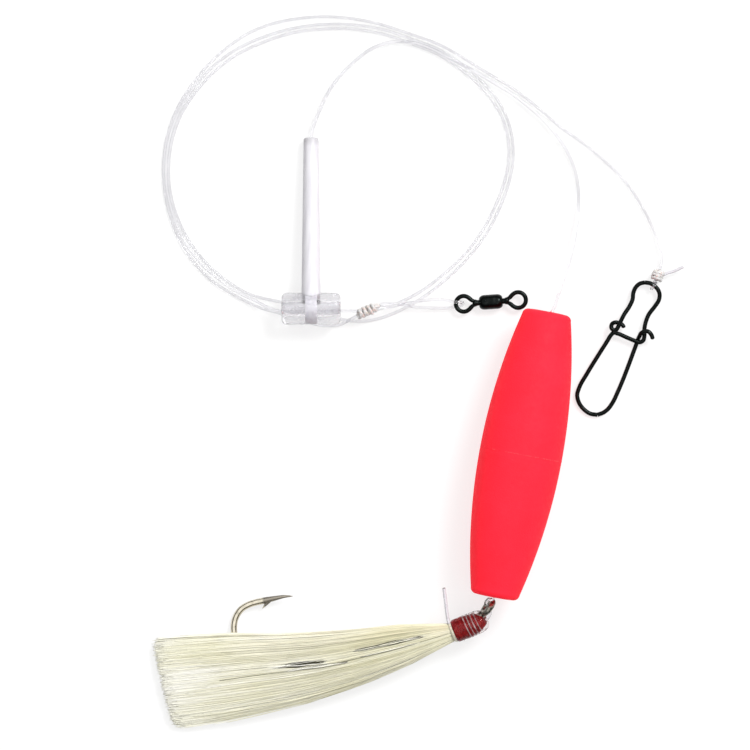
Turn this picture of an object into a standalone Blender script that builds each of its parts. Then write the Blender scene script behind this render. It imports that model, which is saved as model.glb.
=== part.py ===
"""Bobber float on its leader: foam float, standoff tee, swivel, wire snap and dressed hook, laid out flat.

Sizes and places are in millimetres and become metres where an object is made. +Z is up and the rig lies
on z = 0. The origin is under the middle of the tackle, not counting the lines.
"""

import math

import bmesh
import bpy
from mathutils import Matrix, Vector

MM = 0.001

# Driving dimensions.
FLOAT_LENGTH = 76.2
FLOAT_DIAMETER = 21.72
FLOAT_SIDE_ARC = 154.4
FLOAT_BORE = 4.0
FLOAT_CORNER = 1.6
MOULD_LINE_HEIGHT = 0.12
LINE_DIAMETER = 0.8
BRANCH_DIAMETER = 0.9
SNAP_WIRE = 1.06
SWIVEL_WIRE = 1.16
SWIVEL_EYE_RADIUS = 2.05
SWIVEL_LENGTH = 14.34
BARREL_LENGTH = 6.2
BARREL_DIAMETER = 3.9
BARREL_WALL = 0.9
NECK_RADIUS = 0.75
NECK_CLEARANCE = 0.08
HEAD_RADIUS = 1.2
HOOK_WIRE = 1.6
HOOK_EYE_RADIUS = 1.95
WRAP_DIAMETER = 0.85
TEE_CROSS_DIAMETER = 8.4
TEE_CROSS_LENGTH = 15.5
TEE_CROSS_BORE = 3.2
TEE_STEM_LENGTH = 45.0
TEE_STEM_BORE = 1.6
TEE_TILT = math.radians(4.4)
GAP = 0.3
FLOOR_GAP = 0.03
GRIP_THICKNESS = 0.76
GRIP_GAP = 0.09

# Places on the table, before the shift that centres the tackle on the origin.
RIG_SHIFT = Vector((-0.06, -0.745, 0.0))
FLOAT_CENTRE = Vector((29.8, -4.5, FLOAT_DIAMETER / 2 + MOULD_LINE_HEIGHT))
FLOAT_AXIS = Vector((0.18466, 0.9828, 0.0)).normalized()
TEE_CENTRE = Vector((-25.2, 33.7, TEE_CROSS_DIAMETER / 2 + 1.25))
SWIVEL_LEFT = Vector((14.9, 35.0, BARREL_DIAMETER / 2 + FLOOR_GAP))
SWIVEL_AXIS = Vector((14.3, 1.0, 0.0)).normalized()
SNAP_HEIGHT = 1.76
KNOT_ON_WIRE = Vector((64.9, 39.8, SNAP_HEIGHT))
WIRE_AT_KNOT = Vector((0.81, -0.585, 0.0)).normalized()
HOOK_EYE = Vector((21.2, -44.7, 6.9))
HOOK_EYE_UP = Vector((0.607, 0.794, 0.0)).normalized()
HEAD_START = Vector((12.0, -51.2, 6.0))
HEAD_END = Vector((20.8, -47.6, 6.85))

LINE_FLOOR = LINE_DIAMETER / 2 + FLOOR_GAP
BRANCH_FLOOR = BRANCH_DIAMETER / 2 + FLOOR_GAP
ON_LINES = 1.25
OVER_LINES = 1.42

# The main line: out of the loop knot, through the tee and up on to the two turns below it.
LEAD_ROUTE = [
    (-13.15, 33.05, 4.7),
    (-17.5, 33.1, 4.75),
    (-25.2, 33.1, 4.75),
    (-33.0, 33.1, 4.75),
    (-36.2, 34.0, 4.0),
    (-39.5, 35.6, 2.6),
    (-43.5, 37.5, 1.55),
    (-48.4, 40.6, ON_LINES),
]
# Two loose turns, each up the left side, over the top, down the right side and under the tee.
FIRST_TURN_ROUTE = [
    (-48.65, 40.8, ON_LINES),
    (-54.0, 45.4, ON_LINES),
    (-58.6, 51.7, ON_LINES),
    (-61.7, 59.0, ON_LINES),
    (-63.1, 65.4, ON_LINES),
    (-63.3, 72.1, ON_LINES),
    (-62.4, 78.5, ON_LINES),
    (-60.0, 85.3, ON_LINES),
    (-56.1, 91.7, 1.1),
    (-51.1, 97.3, 0.75),
    (-45.1, 101.8, LINE_FLOOR),
    (-38.2, 105.0, LINE_FLOOR),
    (-30.2, 107.4, LINE_FLOOR),
    (-21.8, 108.5, LINE_FLOOR),
    (-13.2, 108.3, LINE_FLOOR),
    (-5.0, 106.8, LINE_FLOOR),
    (1.8, 104.4, LINE_FLOOR),
    (8.7, 101.7, LINE_FLOOR),
    (13.6, 98.6, LINE_FLOOR),
    (18.2, 94.9, LINE_FLOOR),
    (22.8, 90.0, LINE_FLOOR),
    (26.1, 84.3, LINE_FLOOR),
    (27.7, 78.4, LINE_FLOOR),
    (27.9, 72.5, LINE_FLOOR),
    (26.7, 66.5, LINE_FLOOR),
    (24.3, 60.0, LINE_FLOOR),
    (20.6, 53.0, LINE_FLOOR),
    (15.8, 46.8, LINE_FLOOR),
    (10.2, 41.4, LINE_FLOOR),
    (4.0, 36.6, LINE_FLOOR),
    (-2.6, 32.9, LINE_FLOOR),
    (-7.6, 31.1, LINE_FLOOR),
    (-12.4, 30.4, LINE_FLOOR),
    (-16.0, 30.7, LINE_FLOOR),
    (-19.9, 31.8, LINE_FLOOR),
    (-26.0, 33.9, LINE_FLOOR),
    (-33.4, 35.5, LINE_FLOOR),
]
SECOND_TURN_ROUTE = [
    (-33.7, 35.55, LINE_FLOOR),
    (-41.8, 37.7, LINE_FLOOR),
    (-47.0, 40.8, LINE_FLOOR),
    (-52.6, 45.5, LINE_FLOOR),
    (-57.4, 51.7, LINE_FLOOR),
    (-60.8, 58.9, LINE_FLOOR),
    (-62.4, 65.4, LINE_FLOOR),
    (-62.6, 72.0, LINE_FLOOR),
    (-61.7, 78.3, LINE_FLOOR),
    (-59.4, 84.7, LINE_FLOOR),
    (-55.5, 90.8, LINE_FLOOR),
    (-50.5, 96.2, LINE_FLOOR),
    (-44.6, 100.6, LINE_FLOOR),
    (-37.8, 103.8, LINE_FLOOR),
    (-30.0, 106.3, LINE_FLOOR),
    (-21.8, 107.3, LINE_FLOOR),
    (-13.4, 107.2, LINE_FLOOR),
    (-5.4, 105.7, LINE_FLOOR),
    (1.4, 103.3, LINE_FLOOR),
    (8.2, 100.6, LINE_FLOOR),
    (12.9, 97.6, LINE_FLOOR),
    (17.4, 94.0, LINE_FLOOR),
    (21.9, 89.2, LINE_FLOOR),
    (25.1, 83.7, LINE_FLOOR),
    (26.6, 78.2, LINE_FLOOR),
    (26.8, 72.7, LINE_FLOOR),
    (25.6, 66.9, LINE_FLOOR),
    (23.2, 60.6, LINE_FLOOR),
    (19.6, 53.8, LINE_FLOOR),
    (14.9, 47.7, LINE_FLOOR),
    (9.3, 42.5, LINE_FLOOR),
    (2.8, 37.8, LINE_FLOOR),
    (-4.0, 34.6, LINE_FLOOR),
    (-9.3, 33.1, 0.9),
    (-12.9, 31.9, ON_LINES + 0.15),
    (-15.4, 30.6, ON_LINES + 0.15),
    (-17.8, 29.5, 0.75),
    (-20.8, 29.2, LINE_FLOOR),
    (-24.4, 29.7, LINE_FLOOR),
    (-28.1, 30.8, LINE_FLOOR),
    (-33.4, 32.5, LINE_FLOOR),
    (-38.4, 33.9, LINE_FLOOR),
    (-43.2, 36.1, LINE_FLOOR),
    (-48.9, 39.4, LINE_FLOOR),
]
# The last half turn and the tail, out to the snap.
TAIL_ROUTE = [
    (-49.15, 39.55, LINE_FLOOR),
    (-54.8, 44.5, LINE_FLOOR),
    (-59.4, 51.2, LINE_FLOOR),
    (-62.5, 58.9, LINE_FLOOR),
    (-63.8, 65.3, LINE_FLOOR),
    (-64.0, 72.1, LINE_FLOOR),
    (-63.1, 78.6, LINE_FLOOR),
    (-60.8, 85.5, LINE_FLOOR),
    (-56.8, 92.2, LINE_FLOOR),
    (-51.9, 98.2, LINE_FLOOR),
    (-46.2, 103.2, LINE_FLOOR),
    (-41.6, 106.2, LINE_FLOOR),
    (-36.0, 108.5, LINE_FLOOR),
    (-30.2, 109.8, LINE_FLOOR),
    (-22.9, 110.5, LINE_FLOOR),
    (-16.0, 110.2, LINE_FLOOR),
    (-8.5, 108.9, LINE_FLOOR),
    (0.2, 106.2, LINE_FLOOR),
    (9.1, 102.9, LINE_FLOOR),
    (14.3, 100.0, LINE_FLOOR),
    (19.0, 97.0, LINE_FLOOR),
    (23.7, 94.2, LINE_FLOOR),
    (28.5, 91.2, LINE_FLOOR),
    (32.8, 87.9, LINE_FLOOR),
    (36.6, 84.7, LINE_FLOOR),
    (40.4, 81.4, LINE_FLOOR),
    (46.3, 77.3, LINE_FLOOR),
    (52.3, 72.3, LINE_FLOOR),
    (57.5, 67.0, LINE_FLOOR),
    (61.3, 61.5, LINE_FLOOR),
    (64.3, 55.6, 0.6),
    (66.3, 50.0, 1.1),
    (66.95, 46.6, 1.65),
    (66.55, 44.1, 1.86),
]
# The doubled line from the loop knot: over the eye's wire, down through the eye and back under it.
LOOP_ROUTE = [
    (-7.1, 34.35, 4.0),
    (-5.0, 34.15, 3.55),
    (-1.1, 34.9, 3.15),
    (2.2, 35.5, 3.05),
    (7.1, 36.1, 3.05),
    (10.6, 35.9, 3.2),
    (12.9, 35.42, 3.33),
    (14.1, 35.4, 3.0),
    (14.75, 35.2, 2.1),
    (14.2, 34.5, 1.15),
    (13.0, 34.3, 0.87),
    (10.6, 33.9, 0.95),
    (7.1, 33.9, 1.3),
    (2.2, 34.2, 1.7),
    (-1.1, 34.7, 2.05),
    (-5.0, 35.0, 2.5),
    (-7.1, 34.9, 2.85),
]
# The branch line: off the end of the stem, up over the turns, then down and up into the float.
BRANCH_ROUTE = [
    (-25.15, 78.95, 2.05),
    (-24.6, 81.4, 1.75),
    (-22.8, 86.2, 1.1),
    (-20.4, 91.1, 0.6),
    (-17.0, 95.6, BRANCH_FLOOR),
    (-13.2, 99.3, BRANCH_FLOOR),
    (-8.9, 102.3, 0.9),
    (-4.7, 103.7, OVER_LINES),
    (1.0, 103.8, OVER_LINES),
    (5.8, 102.3, OVER_LINES),
    (12.0, 99.2, OVER_LINES),
    (18.1, 95.9, OVER_LINES),
    (22.9, 93.1, OVER_LINES),
    (27.8, 90.1, OVER_LINES),
    (32.0, 86.8, OVER_LINES),
    (35.6, 83.6, OVER_LINES),
    (39.1, 79.5, 1.35),
    (42.4, 74.4, 1.0),
    (44.4, 69.0, 0.7),
    (45.1, 64.2, 0.65),
    (45.0, 59.6, 1.1),
    (44.5, 55.0, 2.2),
    (43.7, 50.4, 4.0),
    (42.5, 45.8, 6.2),
    (41.1, 41.4, 8.2),
    (39.6, 37.2, 9.5),
    (38.3, 33.4, 9.95),
]
# Inside the float's bore, off to one side of its axis, as (along the axis, sideways, up) offsets.
BORE_ROUTE = [
    (37.9, 1.0, -0.85),
    (34.0, 0.9, -0.95),
    (0.0, 0.4, -1.1),
    (-32.0, 0.0, -1.15),
    (-36.4, -0.2, -1.15),
    (-38.8, -0.5, -1.25),
]

# One wire for the snap: crossbar in the middle, a loop each way, and a free hook at each end.
SNAP_FRAME_ROUTE = [
    (49.9, 5.85, 0.57),
    (48.3, 6.1, 0.58),
    (46.6, 7.2, 0.62),
    (45.2, 9.1, 0.72),
    (44.75, 11.0, 0.82),
    (45.3, 13.0, 0.94),
    (47.3, 16.6, 1.15),
    (50.8, 22.3, 1.5),
    (52.7, 25.3, 1.7),
    (53.6, 26.75, SNAP_HEIGHT),
    (54.3, 27.4, SNAP_HEIGHT),
    (55.3, 27.2, SNAP_HEIGHT),
    (57.7, 26.2, SNAP_HEIGHT),
    (60.15, 25.2, SNAP_HEIGHT),
    (61.3, 24.9, SNAP_HEIGHT),
    (62.1, 25.4, SNAP_HEIGHT),
    (62.4, 26.5, SNAP_HEIGHT),
    (62.4, 28.4, SNAP_HEIGHT),
    (62.7, 30.0, SNAP_HEIGHT),
    (63.5, 32.1, SNAP_HEIGHT),
    (65.2, 34.4, SNAP_HEIGHT),
    (66.2, 36.0, SNAP_HEIGHT),
    (66.4, 37.5, SNAP_HEIGHT),
    (65.95, 38.75, SNAP_HEIGHT),
    (64.9, 39.8, SNAP_HEIGHT),
    (63.9, 40.4, SNAP_HEIGHT),
    (62.7, 40.6, SNAP_HEIGHT),
]
LOWER_GATE_ROUTE = [
    (50.25, 5.9, 0.57),
    (51.6, 6.4, 0.57),
    (52.8, 7.3, 0.57),
    (54.0, 8.9, 0.57),
    (55.5, 12.0, 0.57),
    (56.9, 15.3, 0.57),
    (58.4, 19.2, 0.57),
    (59.65, 22.6, 0.57),
    (60.45, 24.8, 0.57),
    (60.75, 25.7, 0.8),
    (61.1, 26.5, 1.75),
    (61.55, 27.3, 2.7),
    (62.45, 27.8, 3.05),
    (63.4, 27.7, 3.05),
    (64.05, 27.1, 3.0),
    (64.4, 26.4, 2.95),
    (64.6, 25.6, 2.95),
]
UPPER_GATE_ROUTE = [
    (62.35, 40.6, SNAP_HEIGHT),
    (61.2, 40.3, SNAP_HEIGHT),
    (60.1, 39.3, SNAP_HEIGHT),
    (59.5, 37.9, SNAP_HEIGHT),
    (59.3, 36.2, 1.85),
    (58.5, 34.4, 2.2),
    (57.0, 32.1, 2.75),
    (56.1, 30.3, 3.0),
    (55.45, 28.9, 3.0),
    (54.95, 28.2, 3.0),
    (54.3, 28.1, 3.0),
    (53.8, 28.5, 2.95),
    (53.7, 29.25, 2.6),
    (54.1, 29.9, 2.1),
    (54.85, 30.12, 1.76),
    (55.7, 29.95, 1.7),
    (56.4, 29.65, 1.7),
    (56.85, 29.15, 1.7),
    (57.0, 28.6, 1.7),
]
GATE_PIVOTS = {
    "snap_lower_gate": Vector((50.1, 5.9, 0.57)),
    "snap_upper_gate": Vector((62.5, 40.6, SNAP_HEIGHT)),
}

# The hook lies in a plane that rises from its bend to its eye.
HOOK_BEND = Vector((-45.5, -55.0))
HOOK_ALONG = Vector((0.9763, 0.2164))
HOOK_BEND_HEIGHT = 1.1
HOOK_RISE = 0.086
HOOK_PLAN = [
    (-29.9, -41.8),
    (-32.2, -41.9),
    (-34.8, -42.4),
    (-37.9, -43.05),
    (-39.9, -43.5),
    (-41.9, -44.2),
    (-43.6, -45.3),
    (-44.7, -46.8),
    (-45.3, -48.4),
    (-45.5, -50.4),
    (-45.2, -52.7),
    (-44.2, -55.3),
    (-42.2, -57.9),
    (-39.4, -59.9),
    (-35.5, -61.0),
    (-29.2, -60.5),
    (-16.6, -57.8),
    (-1.8, -54.4),
    (8.0, -52.0),
    (13.0, -50.7),
    (16.6, -49.1),
    (18.6, -47.6),
    (20.0, -46.2),
]
BARB_ROOT = Vector((-36.3, -43.0))
BARB_TIP = Vector((-38.0, -45.1))
BLADE_POINTS = 4

# The hair's outline: along each station its near edge, far edge, middle height and half thickness.
HAIR_STATIONS = [
    ((10.9, -48.9), (12.8, -53.4), 5.95, 2.3),
    ((-1.8, -49.1), (0.5, -60.0), 5.3, 3.2),
    ((-14.5, -50.4), (-11.5, -65.0), 4.5, 3.6),
    ((-29.5, -51.4), (-26.0, -69.7), 3.75, 3.45),
    ((-44.5, -51.5), (-41.0, -73.0), 2.9, 2.7),
    ((-56.0, -52.1), (-52.0, -75.1), 2.1, 1.9),
    ((-67.8, -53.0), (-62.2, -76.5), 1.35, 1.15),
]


def vectors(points):
    return [Vector(p) for p in points]


def smooth_route(points, count):
    """Evenly spaced points on a smooth curve through the given ones."""
    knots = vectors(points)
    tangents = []
    for i, here in enumerate(knots):
        before = knots[max(i - 1, 0)]
        after = knots[min(i + 1, len(knots) - 1)]
        back, ahead = (here - before).length, (after - here).length
        if back == 0 or ahead == 0:
            tangents.append((after - before).normalized())
            continue
        slope = (here - before) * (ahead / back) + (after - here) * (back / ahead)
        tangents.append(slope / (back + ahead))
    fine = [knots[0]]
    for i in range(len(knots) - 1):
        a, b = knots[i], knots[i + 1]
        reach = (b - a).length / 3
        for step in range(1, 25):
            t = step / 24
            u = 1 - t
            leaving, arriving = a + tangents[i] * reach, b - tangents[i + 1] * reach
            point = a * u**3 + leaving * (3 * u * u * t) + arriving * (3 * u * t * t) + b * t**3
            point.z = min(max(point.z, min(a.z, b.z)), max(a.z, b.z))
            fine.append(point)
    lengths = [0.0]
    for a, b in zip(fine, fine[1:]):
        lengths.append(lengths[-1] + (b - a).length)
    spaced, at = [], 0
    for k in range(count):
        target = lengths[-1] * k / (count - 1)
        while at < len(fine) - 2 and lengths[at + 1] < target:
            at += 1
        share = (target - lengths[at]) / (lengths[at + 1] - lengths[at])
        spaced.append(fine[at].lerp(fine[at + 1], min(max(share, 0.0), 1.0)))
    return spaced


def material(name, colour, roughness, metallic=0.0, alpha=1.0):
    made = bpy.data.materials.new(name)
    made.use_nodes = True
    shader = made.node_tree.nodes["Principled BSDF"]
    shader.inputs["Base Color"].default_value = (*colour, 1.0)
    shader.inputs["Roughness"].default_value = roughness
    shader.inputs["Metallic"].default_value = metallic
    shader.inputs["Alpha"].default_value = alpha
    made.diffuse_color = (*colour, alpha)
    return made


def add_object(name, data, origin, finish, smooth_angle=40):
    """Link an object whose data is already in metres about its origin."""
    made = bpy.data.objects.new(name, data)
    bpy.context.scene.collection.objects.link(made)
    made.location = (Vector(origin) + RIG_SHIFT) * MM
    data.materials.append(finish)
    if isinstance(data, bpy.types.Mesh):
        data.shade_smooth()
        data.set_sharp_from_angle(angle=math.radians(smooth_angle))
    return made


def mesh_object(name, bm, origin, finish):
    """Turn a bmesh in millimetres on the table into an object whose origin is on its joint's axis."""
    bmesh.ops.recalc_face_normals(bm, faces=bm.faces)
    if bm.calc_volume(signed=True) < 0:
        bmesh.ops.reverse_faces(bm, faces=bm.faces)
    origin = Vector(origin)
    for vert in bm.verts:
        vert.co = (vert.co - origin) * MM
    mesh = bpy.data.meshes.new(name)
    bm.to_mesh(mesh)
    bm.free()
    return add_object(name, mesh, origin, finish)


def boolean(target, tool, operation):
    """Join a tool to a target, or cut it away, and keep the tool as a hidden guide."""
    modifier = target.modifiers.new(tool.name, "BOOLEAN")
    modifier.operation = operation
    modifier.object = tool
    tool.hide_render = True
    tool.display_type = "WIRE"
    return target


def turned(profile, steps, start=(0, 0, 0), axis=(0, 0, 1)):
    """Spin a closed (radius, along) profile about an axis through start."""
    bm = bmesh.new()
    corners = [bm.verts.new((radius, 0.0, along)) for radius, along in profile]
    edges = []
    for i, corner in enumerate(corners):
        after = corners[(i + 1) % len(corners)]
        if corner.co.x > 0 or after.co.x > 0:
            edges.append(bm.edges.new((corner, after)))
    bmesh.ops.spin(
        bm,
        geom=corners + edges,
        cent=(0, 0, 0),
        axis=(0, 0, 1),
        dvec=(0, 0, 0),
        angle=2 * math.pi,
        steps=steps,
        use_duplicate=False,
    )
    bmesh.ops.remove_doubles(bm, verts=bm.verts, dist=0.001)
    turn = Vector(axis).to_track_quat("Z", "Y").to_matrix().to_4x4()
    bm.transform(Matrix.Translation(Vector(start)) @ turn)
    return bm


def swept(path, radii, sides, closed=False):
    """A round wire along a path, with a radius at each point."""
    bm = bmesh.new()
    count = len(path)
    rings = []
    side = None
    for i, here in enumerate(path):
        before = path[i - 1] if closed or i > 0 else here
        after = path[(i + 1) % count] if closed or i < count - 1 else here
        along = (after - before).normalized()
        if side is None:
            side = along.orthogonal().normalized()
        side = (side - along * side.dot(along)).normalized()
        other = along.cross(side)
        ring = []
        for k in range(sides):
            angle = 2 * math.pi * k / sides
            spoke = side * math.cos(angle) + other * math.sin(angle)
            ring.append(bm.verts.new(here + spoke * radii[i]))
        rings.append(ring)
    last = count if closed else count - 1
    for i in range(last):
        a, b = rings[i], rings[(i + 1) % count]
        for k in range(sides):
            m = (k + 1) % sides
            bm.faces.new((a[k], a[m], b[m], b[k]))
    if not closed:
        bm.faces.new(rings[0])
        bm.faces.new(rings[-1])
    return bm


def wire(route, count, diameter, sides=10):
    return swept(smooth_route(route, count), [diameter / 2] * count, sides)


def line(name, route, count, diameter, origin, finish):
    """A length of fishing line as a bevelled curve."""
    curve = bpy.data.curves.new(name, "CURVE")
    curve.dimensions = "3D"
    curve.resolution_u = 1
    curve.render_resolution_u = 0
    curve.bevel_depth = diameter / 2 * MM
    curve.bevel_resolution = 2
    curve.use_fill_caps = True
    spline = curve.splines.new("POLY")
    points = smooth_route(route, count)
    spline.points.add(len(points) - 1)
    for point, place in zip(spline.points, points):
        point.co = (*((place - Vector(origin)) * MM), 1.0)
    return add_object(name, curve, origin, finish)


def ridged(length, radius, ridges, depth=0.22):
    """The profile of a knot: a barrel with a ridge for each wrap."""
    profile = [(0.0, 0.0), (radius * 0.62, 0.0)]
    pitch = length / ridges
    for k in range(ridges):
        swell = radius - depth * abs(2 * (k + 0.5) / ridges - 1)
        profile.append((swell, (k + 0.3) * pitch))
        profile.append((swell, (k + 0.7) * pitch))
        if k < ridges - 1:
            profile.append((swell - depth, (k + 1.0) * pitch))
    profile += [(radius * 0.62, length), (0.0, length)]
    return profile


def float_profile():
    """The cigar's outline: an arc down each side, rounded ends and a bore."""
    half = FLOAT_LENGTH / 2
    bore = FLOAT_BORE / 2

    def side(along):
        sagitta = FLOAT_SIDE_ARC - math.sqrt(FLOAT_SIDE_ARC**2 - along**2)
        return FLOAT_DIAMETER / 2 - sagitta

    corner = half - FLOAT_CORNER
    shoulder = side(corner)
    outline = []
    for k in range(6):
        along = corner * (1 - k / 6)
        outline.append((side(along), along))
    upper = [
        (bore, half),
        (shoulder - 2.4, half),
        (shoulder - 1.2, half - 0.28),
        (shoulder - 0.4, half - 0.8),
    ] + outline
    foot = FLOAT_DIAMETER / 2
    ridge = [(foot, 0.5), (foot + MOULD_LINE_HEIGHT, 0.0), (foot, -0.5)]
    lower = [(radius, -along) for radius, along in reversed(upper)]
    return upper + ridge + lower


def float_point(along, sideways, up):
    """A point given along the float's axis, across it on the table, and upwards."""
    across = Vector((FLOAT_AXIS.y, -FLOAT_AXIS.x, 0.0))
    return FLOAT_CENTRE + FLOAT_AXIS * along + across * sideways + Vector((0, 0, up))


def build_float(finish):
    bm = turned(float_profile(), 40, FLOAT_CENTRE, FLOAT_AXIS)
    mesh_object("float_body", bm, FLOAT_CENTRE, finish)


def tee_place():
    """From the tee's own axes, cross tube along X and stem along Y, to the table."""
    return Matrix.Translation(TEE_CENTRE) @ Matrix.Rotation(-TEE_TILT, 4, "X")


def build_tee(finish):
    half = TEE_CROSS_LENGTH / 2
    radius = TEE_CROSS_DIAMETER / 2
    cross_profile = [
        (0.0, -half),
        (radius - 1.5, -half),
        (radius - 0.45, -half + 0.45),
        (radius, -half + 1.5),
        (radius, half - 1.5),
        (radius - 0.45, half - 0.45),
        (radius - 1.5, half),
        (0.0, half),
    ]
    stem_profile = [
        (0.0, 0.0),
        (3.4, 0.0),
        (3.4, 3.3),
        (2.75, 4.4),
        (2.5, 6.0),
        (2.2, 24.0),
        (1.95, TEE_STEM_LENGTH - 0.4),
        (1.6, TEE_STEM_LENGTH),
        (0.0, TEE_STEM_LENGTH),
    ]
    bore = TEE_CROSS_BORE / 2
    narrow = TEE_STEM_BORE / 2
    chamber_profile = [
        (0.0, 0.1),
        (1.3, 0.1),
        (1.3, 2.7),
        (narrow, 3.2),
        (narrow, TEE_STEM_LENGTH + 1),
        (0.0, TEE_STEM_LENGTH + 1),
    ]
    bore_profile = [(0.0, -half - 1), (bore, -half - 1), (bore, half + 1), (0.0, half + 1)]
    shapes = [
        ("standoff_tee", cross_profile, (1, 0, 0), None),
        ("tee_stem_guide", stem_profile, (0, 1, 0), "UNION"),
        ("tee_bore_cutter", bore_profile, (1, 0, 0), "DIFFERENCE"),
        ("tee_chamber_cutter", chamber_profile, (0, 1, 0), "DIFFERENCE"),
    ]
    body = None
    for name, profile, axis, operation in shapes:
        bm = turned(profile, 24, (0, 0, 0), axis)
        bm.transform(tee_place())
        made = mesh_object(name, bm, TEE_CENTRE, finish)
        if operation is None:
            body = made
        else:
            boolean(body, made, operation)


def build_branch_line(clear):
    origin = TEE_CENTRE
    knot = turned(ridged(1.9, 1.0, 2, 0.12), 14, (0, 0.55, 0), (0, 1, 0))
    knot.transform(tee_place())
    mesh_object("branch_stop_knot", knot, origin, clear)
    stem = [tee_place() @ Vector((0, along, 0)) for along in (2.75, 24.0, TEE_STEM_LENGTH - 0.1)]
    line("branch_line_stem", stem, 6, BRANCH_DIAMETER, origin, clear)
    line("branch_line", BRANCH_ROUTE, 64, BRANCH_DIAMETER, origin, clear)
    bore = [float_point(*offsets) for offsets in BORE_ROUTE]
    line("branch_line_bore", bore + eye_side_route(), 30, BRANCH_DIAMETER, origin, clear)


def eye_point(up, through, rise):
    """A point about the hook's eye: up its face, through its hole, and upwards."""
    hole = HOOK_EYE_UP.cross(Vector((0, 0, 1)))
    return HOOK_EYE + HOOK_EYE_UP * up + hole * through + Vector((0, 0, rise))


def eye_side_route():
    """The branch line from the float's lower end down beside the hook's eye and into its hole."""
    return [
        eye_point(1.6, -1.65, 1.8),
        eye_point(1.1, -1.75, 1.0),
        eye_point(0.5, -1.5, 0.4),
        eye_point(0.1, -0.9, 0.1),
        eye_point(0.0, -0.25, 0.0),
    ]


def build_main_line(clear):
    root = (0, 0, 0)
    line("main_line_lead", LEAD_ROUTE, 22, LINE_DIAMETER, root, clear)
    line("main_line_first_turn", FIRST_TURN_ROUTE, 80, LINE_DIAMETER, root, clear)
    line("main_line_second_turn", SECOND_TURN_ROUTE, 80, LINE_DIAMETER, root, clear)
    line("main_line_tail", TAIL_ROUTE, 72, LINE_DIAMETER, root, clear)
    line("swivel_loop", LOOP_ROUTE, 44, LINE_DIAMETER, root, clear)
    knot_start = Vector((-12.8, 33.05, 4.3))
    knot_end = Vector((-7.6, 34.55, 3.5))
    along = knot_end - knot_start
    knot = turned(ridged(along.length, 1.35, 6), 16, knot_start, along)
    mesh_object("loop_knot", knot, root, clear)


def build_snap_knot(clear):
    root = (0, 0, 0)
    along = (Vector(TAIL_ROUTE[-1]) - KNOT_ON_WIRE).normalized()
    barrel = turned(ridged(3.1, 1.4, 4), 16, KNOT_ON_WIRE + along * 1.1, along)
    knot = mesh_object("snap_knot", barrel, root, clear)
    across = WIRE_AT_KNOT.cross(Vector((0, 0, 1)))
    grip = GRIP_THICKNESS / 2
    ring_radius = SNAP_WIRE / 2 + GRIP_GAP + grip
    ring = []
    for k in range(16):
        angle = 2 * math.pi * k / 16
        spoke = across * math.cos(angle) + Vector((0, 0, math.sin(angle)))
        ring.append(KNOT_ON_WIRE + spoke * ring_radius)
    hitch = mesh_object("snap_hitch_guide", swept(ring, [grip] * 16, 8, closed=True), root, clear)
    boolean(knot, hitch, "UNION")
    tag = [(67.75, 42.8, 2.0), (70.2, 43.6, 2.2), (72.6, 44.7, 2.4)]
    line("snap_knot_tag", tag, 5, LINE_DIAMETER, root, clear)


def swivel_eye(name, centre, towards_barrel, origin, finish):
    """A wire eye with its neck and the head that is trapped in the barrel."""
    across = Vector((0, 0, 1)).cross(towards_barrel)

    def at(along, sideways):
        return centre + towards_barrel * along + across * sideways

    path = [at(3.0, 0.45), at(2.4, 0.66)]
    turns = 14
    for k in range(turns + 1):
        angle = math.radians(50 + 260 * k / turns)
        path.append(at(SWIVEL_EYE_RADIUS * math.cos(angle), SWIVEL_EYE_RADIUS * math.sin(angle)))
    path += [at(2.4, -0.66), at(3.0, -0.45)]
    radii = [SWIVEL_WIRE / 2] * 34
    for k, radius in enumerate((0.42, 0.48, 0.54)):
        radii[k] = radii[-1 - k] = radius
    eye = mesh_object(name, swept(smooth_route(path, 34), radii, 10), origin, finish)
    face = ((swivel_right() - SWIVEL_LEFT).length - BARREL_LENGTH) / 2
    head = face + BARREL_WALL + 0.15
    neck_profile = [
        (0.0, 2.3),
        (0.7, 2.35),
        (0.98, 2.75),
        (0.98, 3.2),
        (NECK_RADIUS, 3.6),
        (NECK_RADIUS, head),
        (HEAD_RADIUS, head),
        (HEAD_RADIUS, head + 0.9),
        (0.0, head + 0.9),
    ]
    neck = turned(neck_profile, 20, centre, towards_barrel)
    boolean(eye, mesh_object(name + "_neck_guide", neck, origin, finish), "UNION")


def swivel_right():
    return SWIVEL_LEFT + SWIVEL_AXIS * SWIVEL_LENGTH


def build_swivel(finish):
    left, right = SWIVEL_LEFT, swivel_right()
    middle = (left + right) / 2
    swivel_eye("swivel_line_eye", left, SWIVEL_AXIS, left - SWIVEL_AXIS * SWIVEL_EYE_RADIUS, finish)
    swivel_eye("swivel_free_eye", right, -SWIVEL_AXIS, middle, finish)
    half = BARREL_LENGTH / 2
    outer = BARREL_DIAMETER / 2
    inside = half - BARREL_WALL
    hole = NECK_RADIUS + NECK_CLEARANCE
    cavity = HEAD_RADIUS + 0.2
    right_side = [(hole, half), (1.15, half), (1.65, half - 0.25), (outer - 0.07, half - 0.85)]
    profile = right_side + [(outer, half - 1.7)]
    profile += [(radius, -along) for radius, along in reversed(profile)]
    profile += [(hole, -inside), (cavity, -inside), (cavity, inside), (hole, inside)]
    mesh_object("swivel_barrel", turned(profile, 24, middle, SWIVEL_AXIS), middle, finish)


def build_snap(finish):
    frame = wire(SNAP_FRAME_ROUTE, 84, SNAP_WIRE)
    mesh_object("snap_frame", frame, KNOT_ON_WIRE, finish)
    lower = wire(LOWER_GATE_ROUTE, 46, SNAP_WIRE)
    mesh_object("snap_lower_gate", lower, GATE_PIVOTS["snap_lower_gate"], finish)
    upper = wire(UPPER_GATE_ROUTE, 50, SNAP_WIRE)
    mesh_object("snap_upper_gate", upper, GATE_PIVOTS["snap_upper_gate"], finish)


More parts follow.
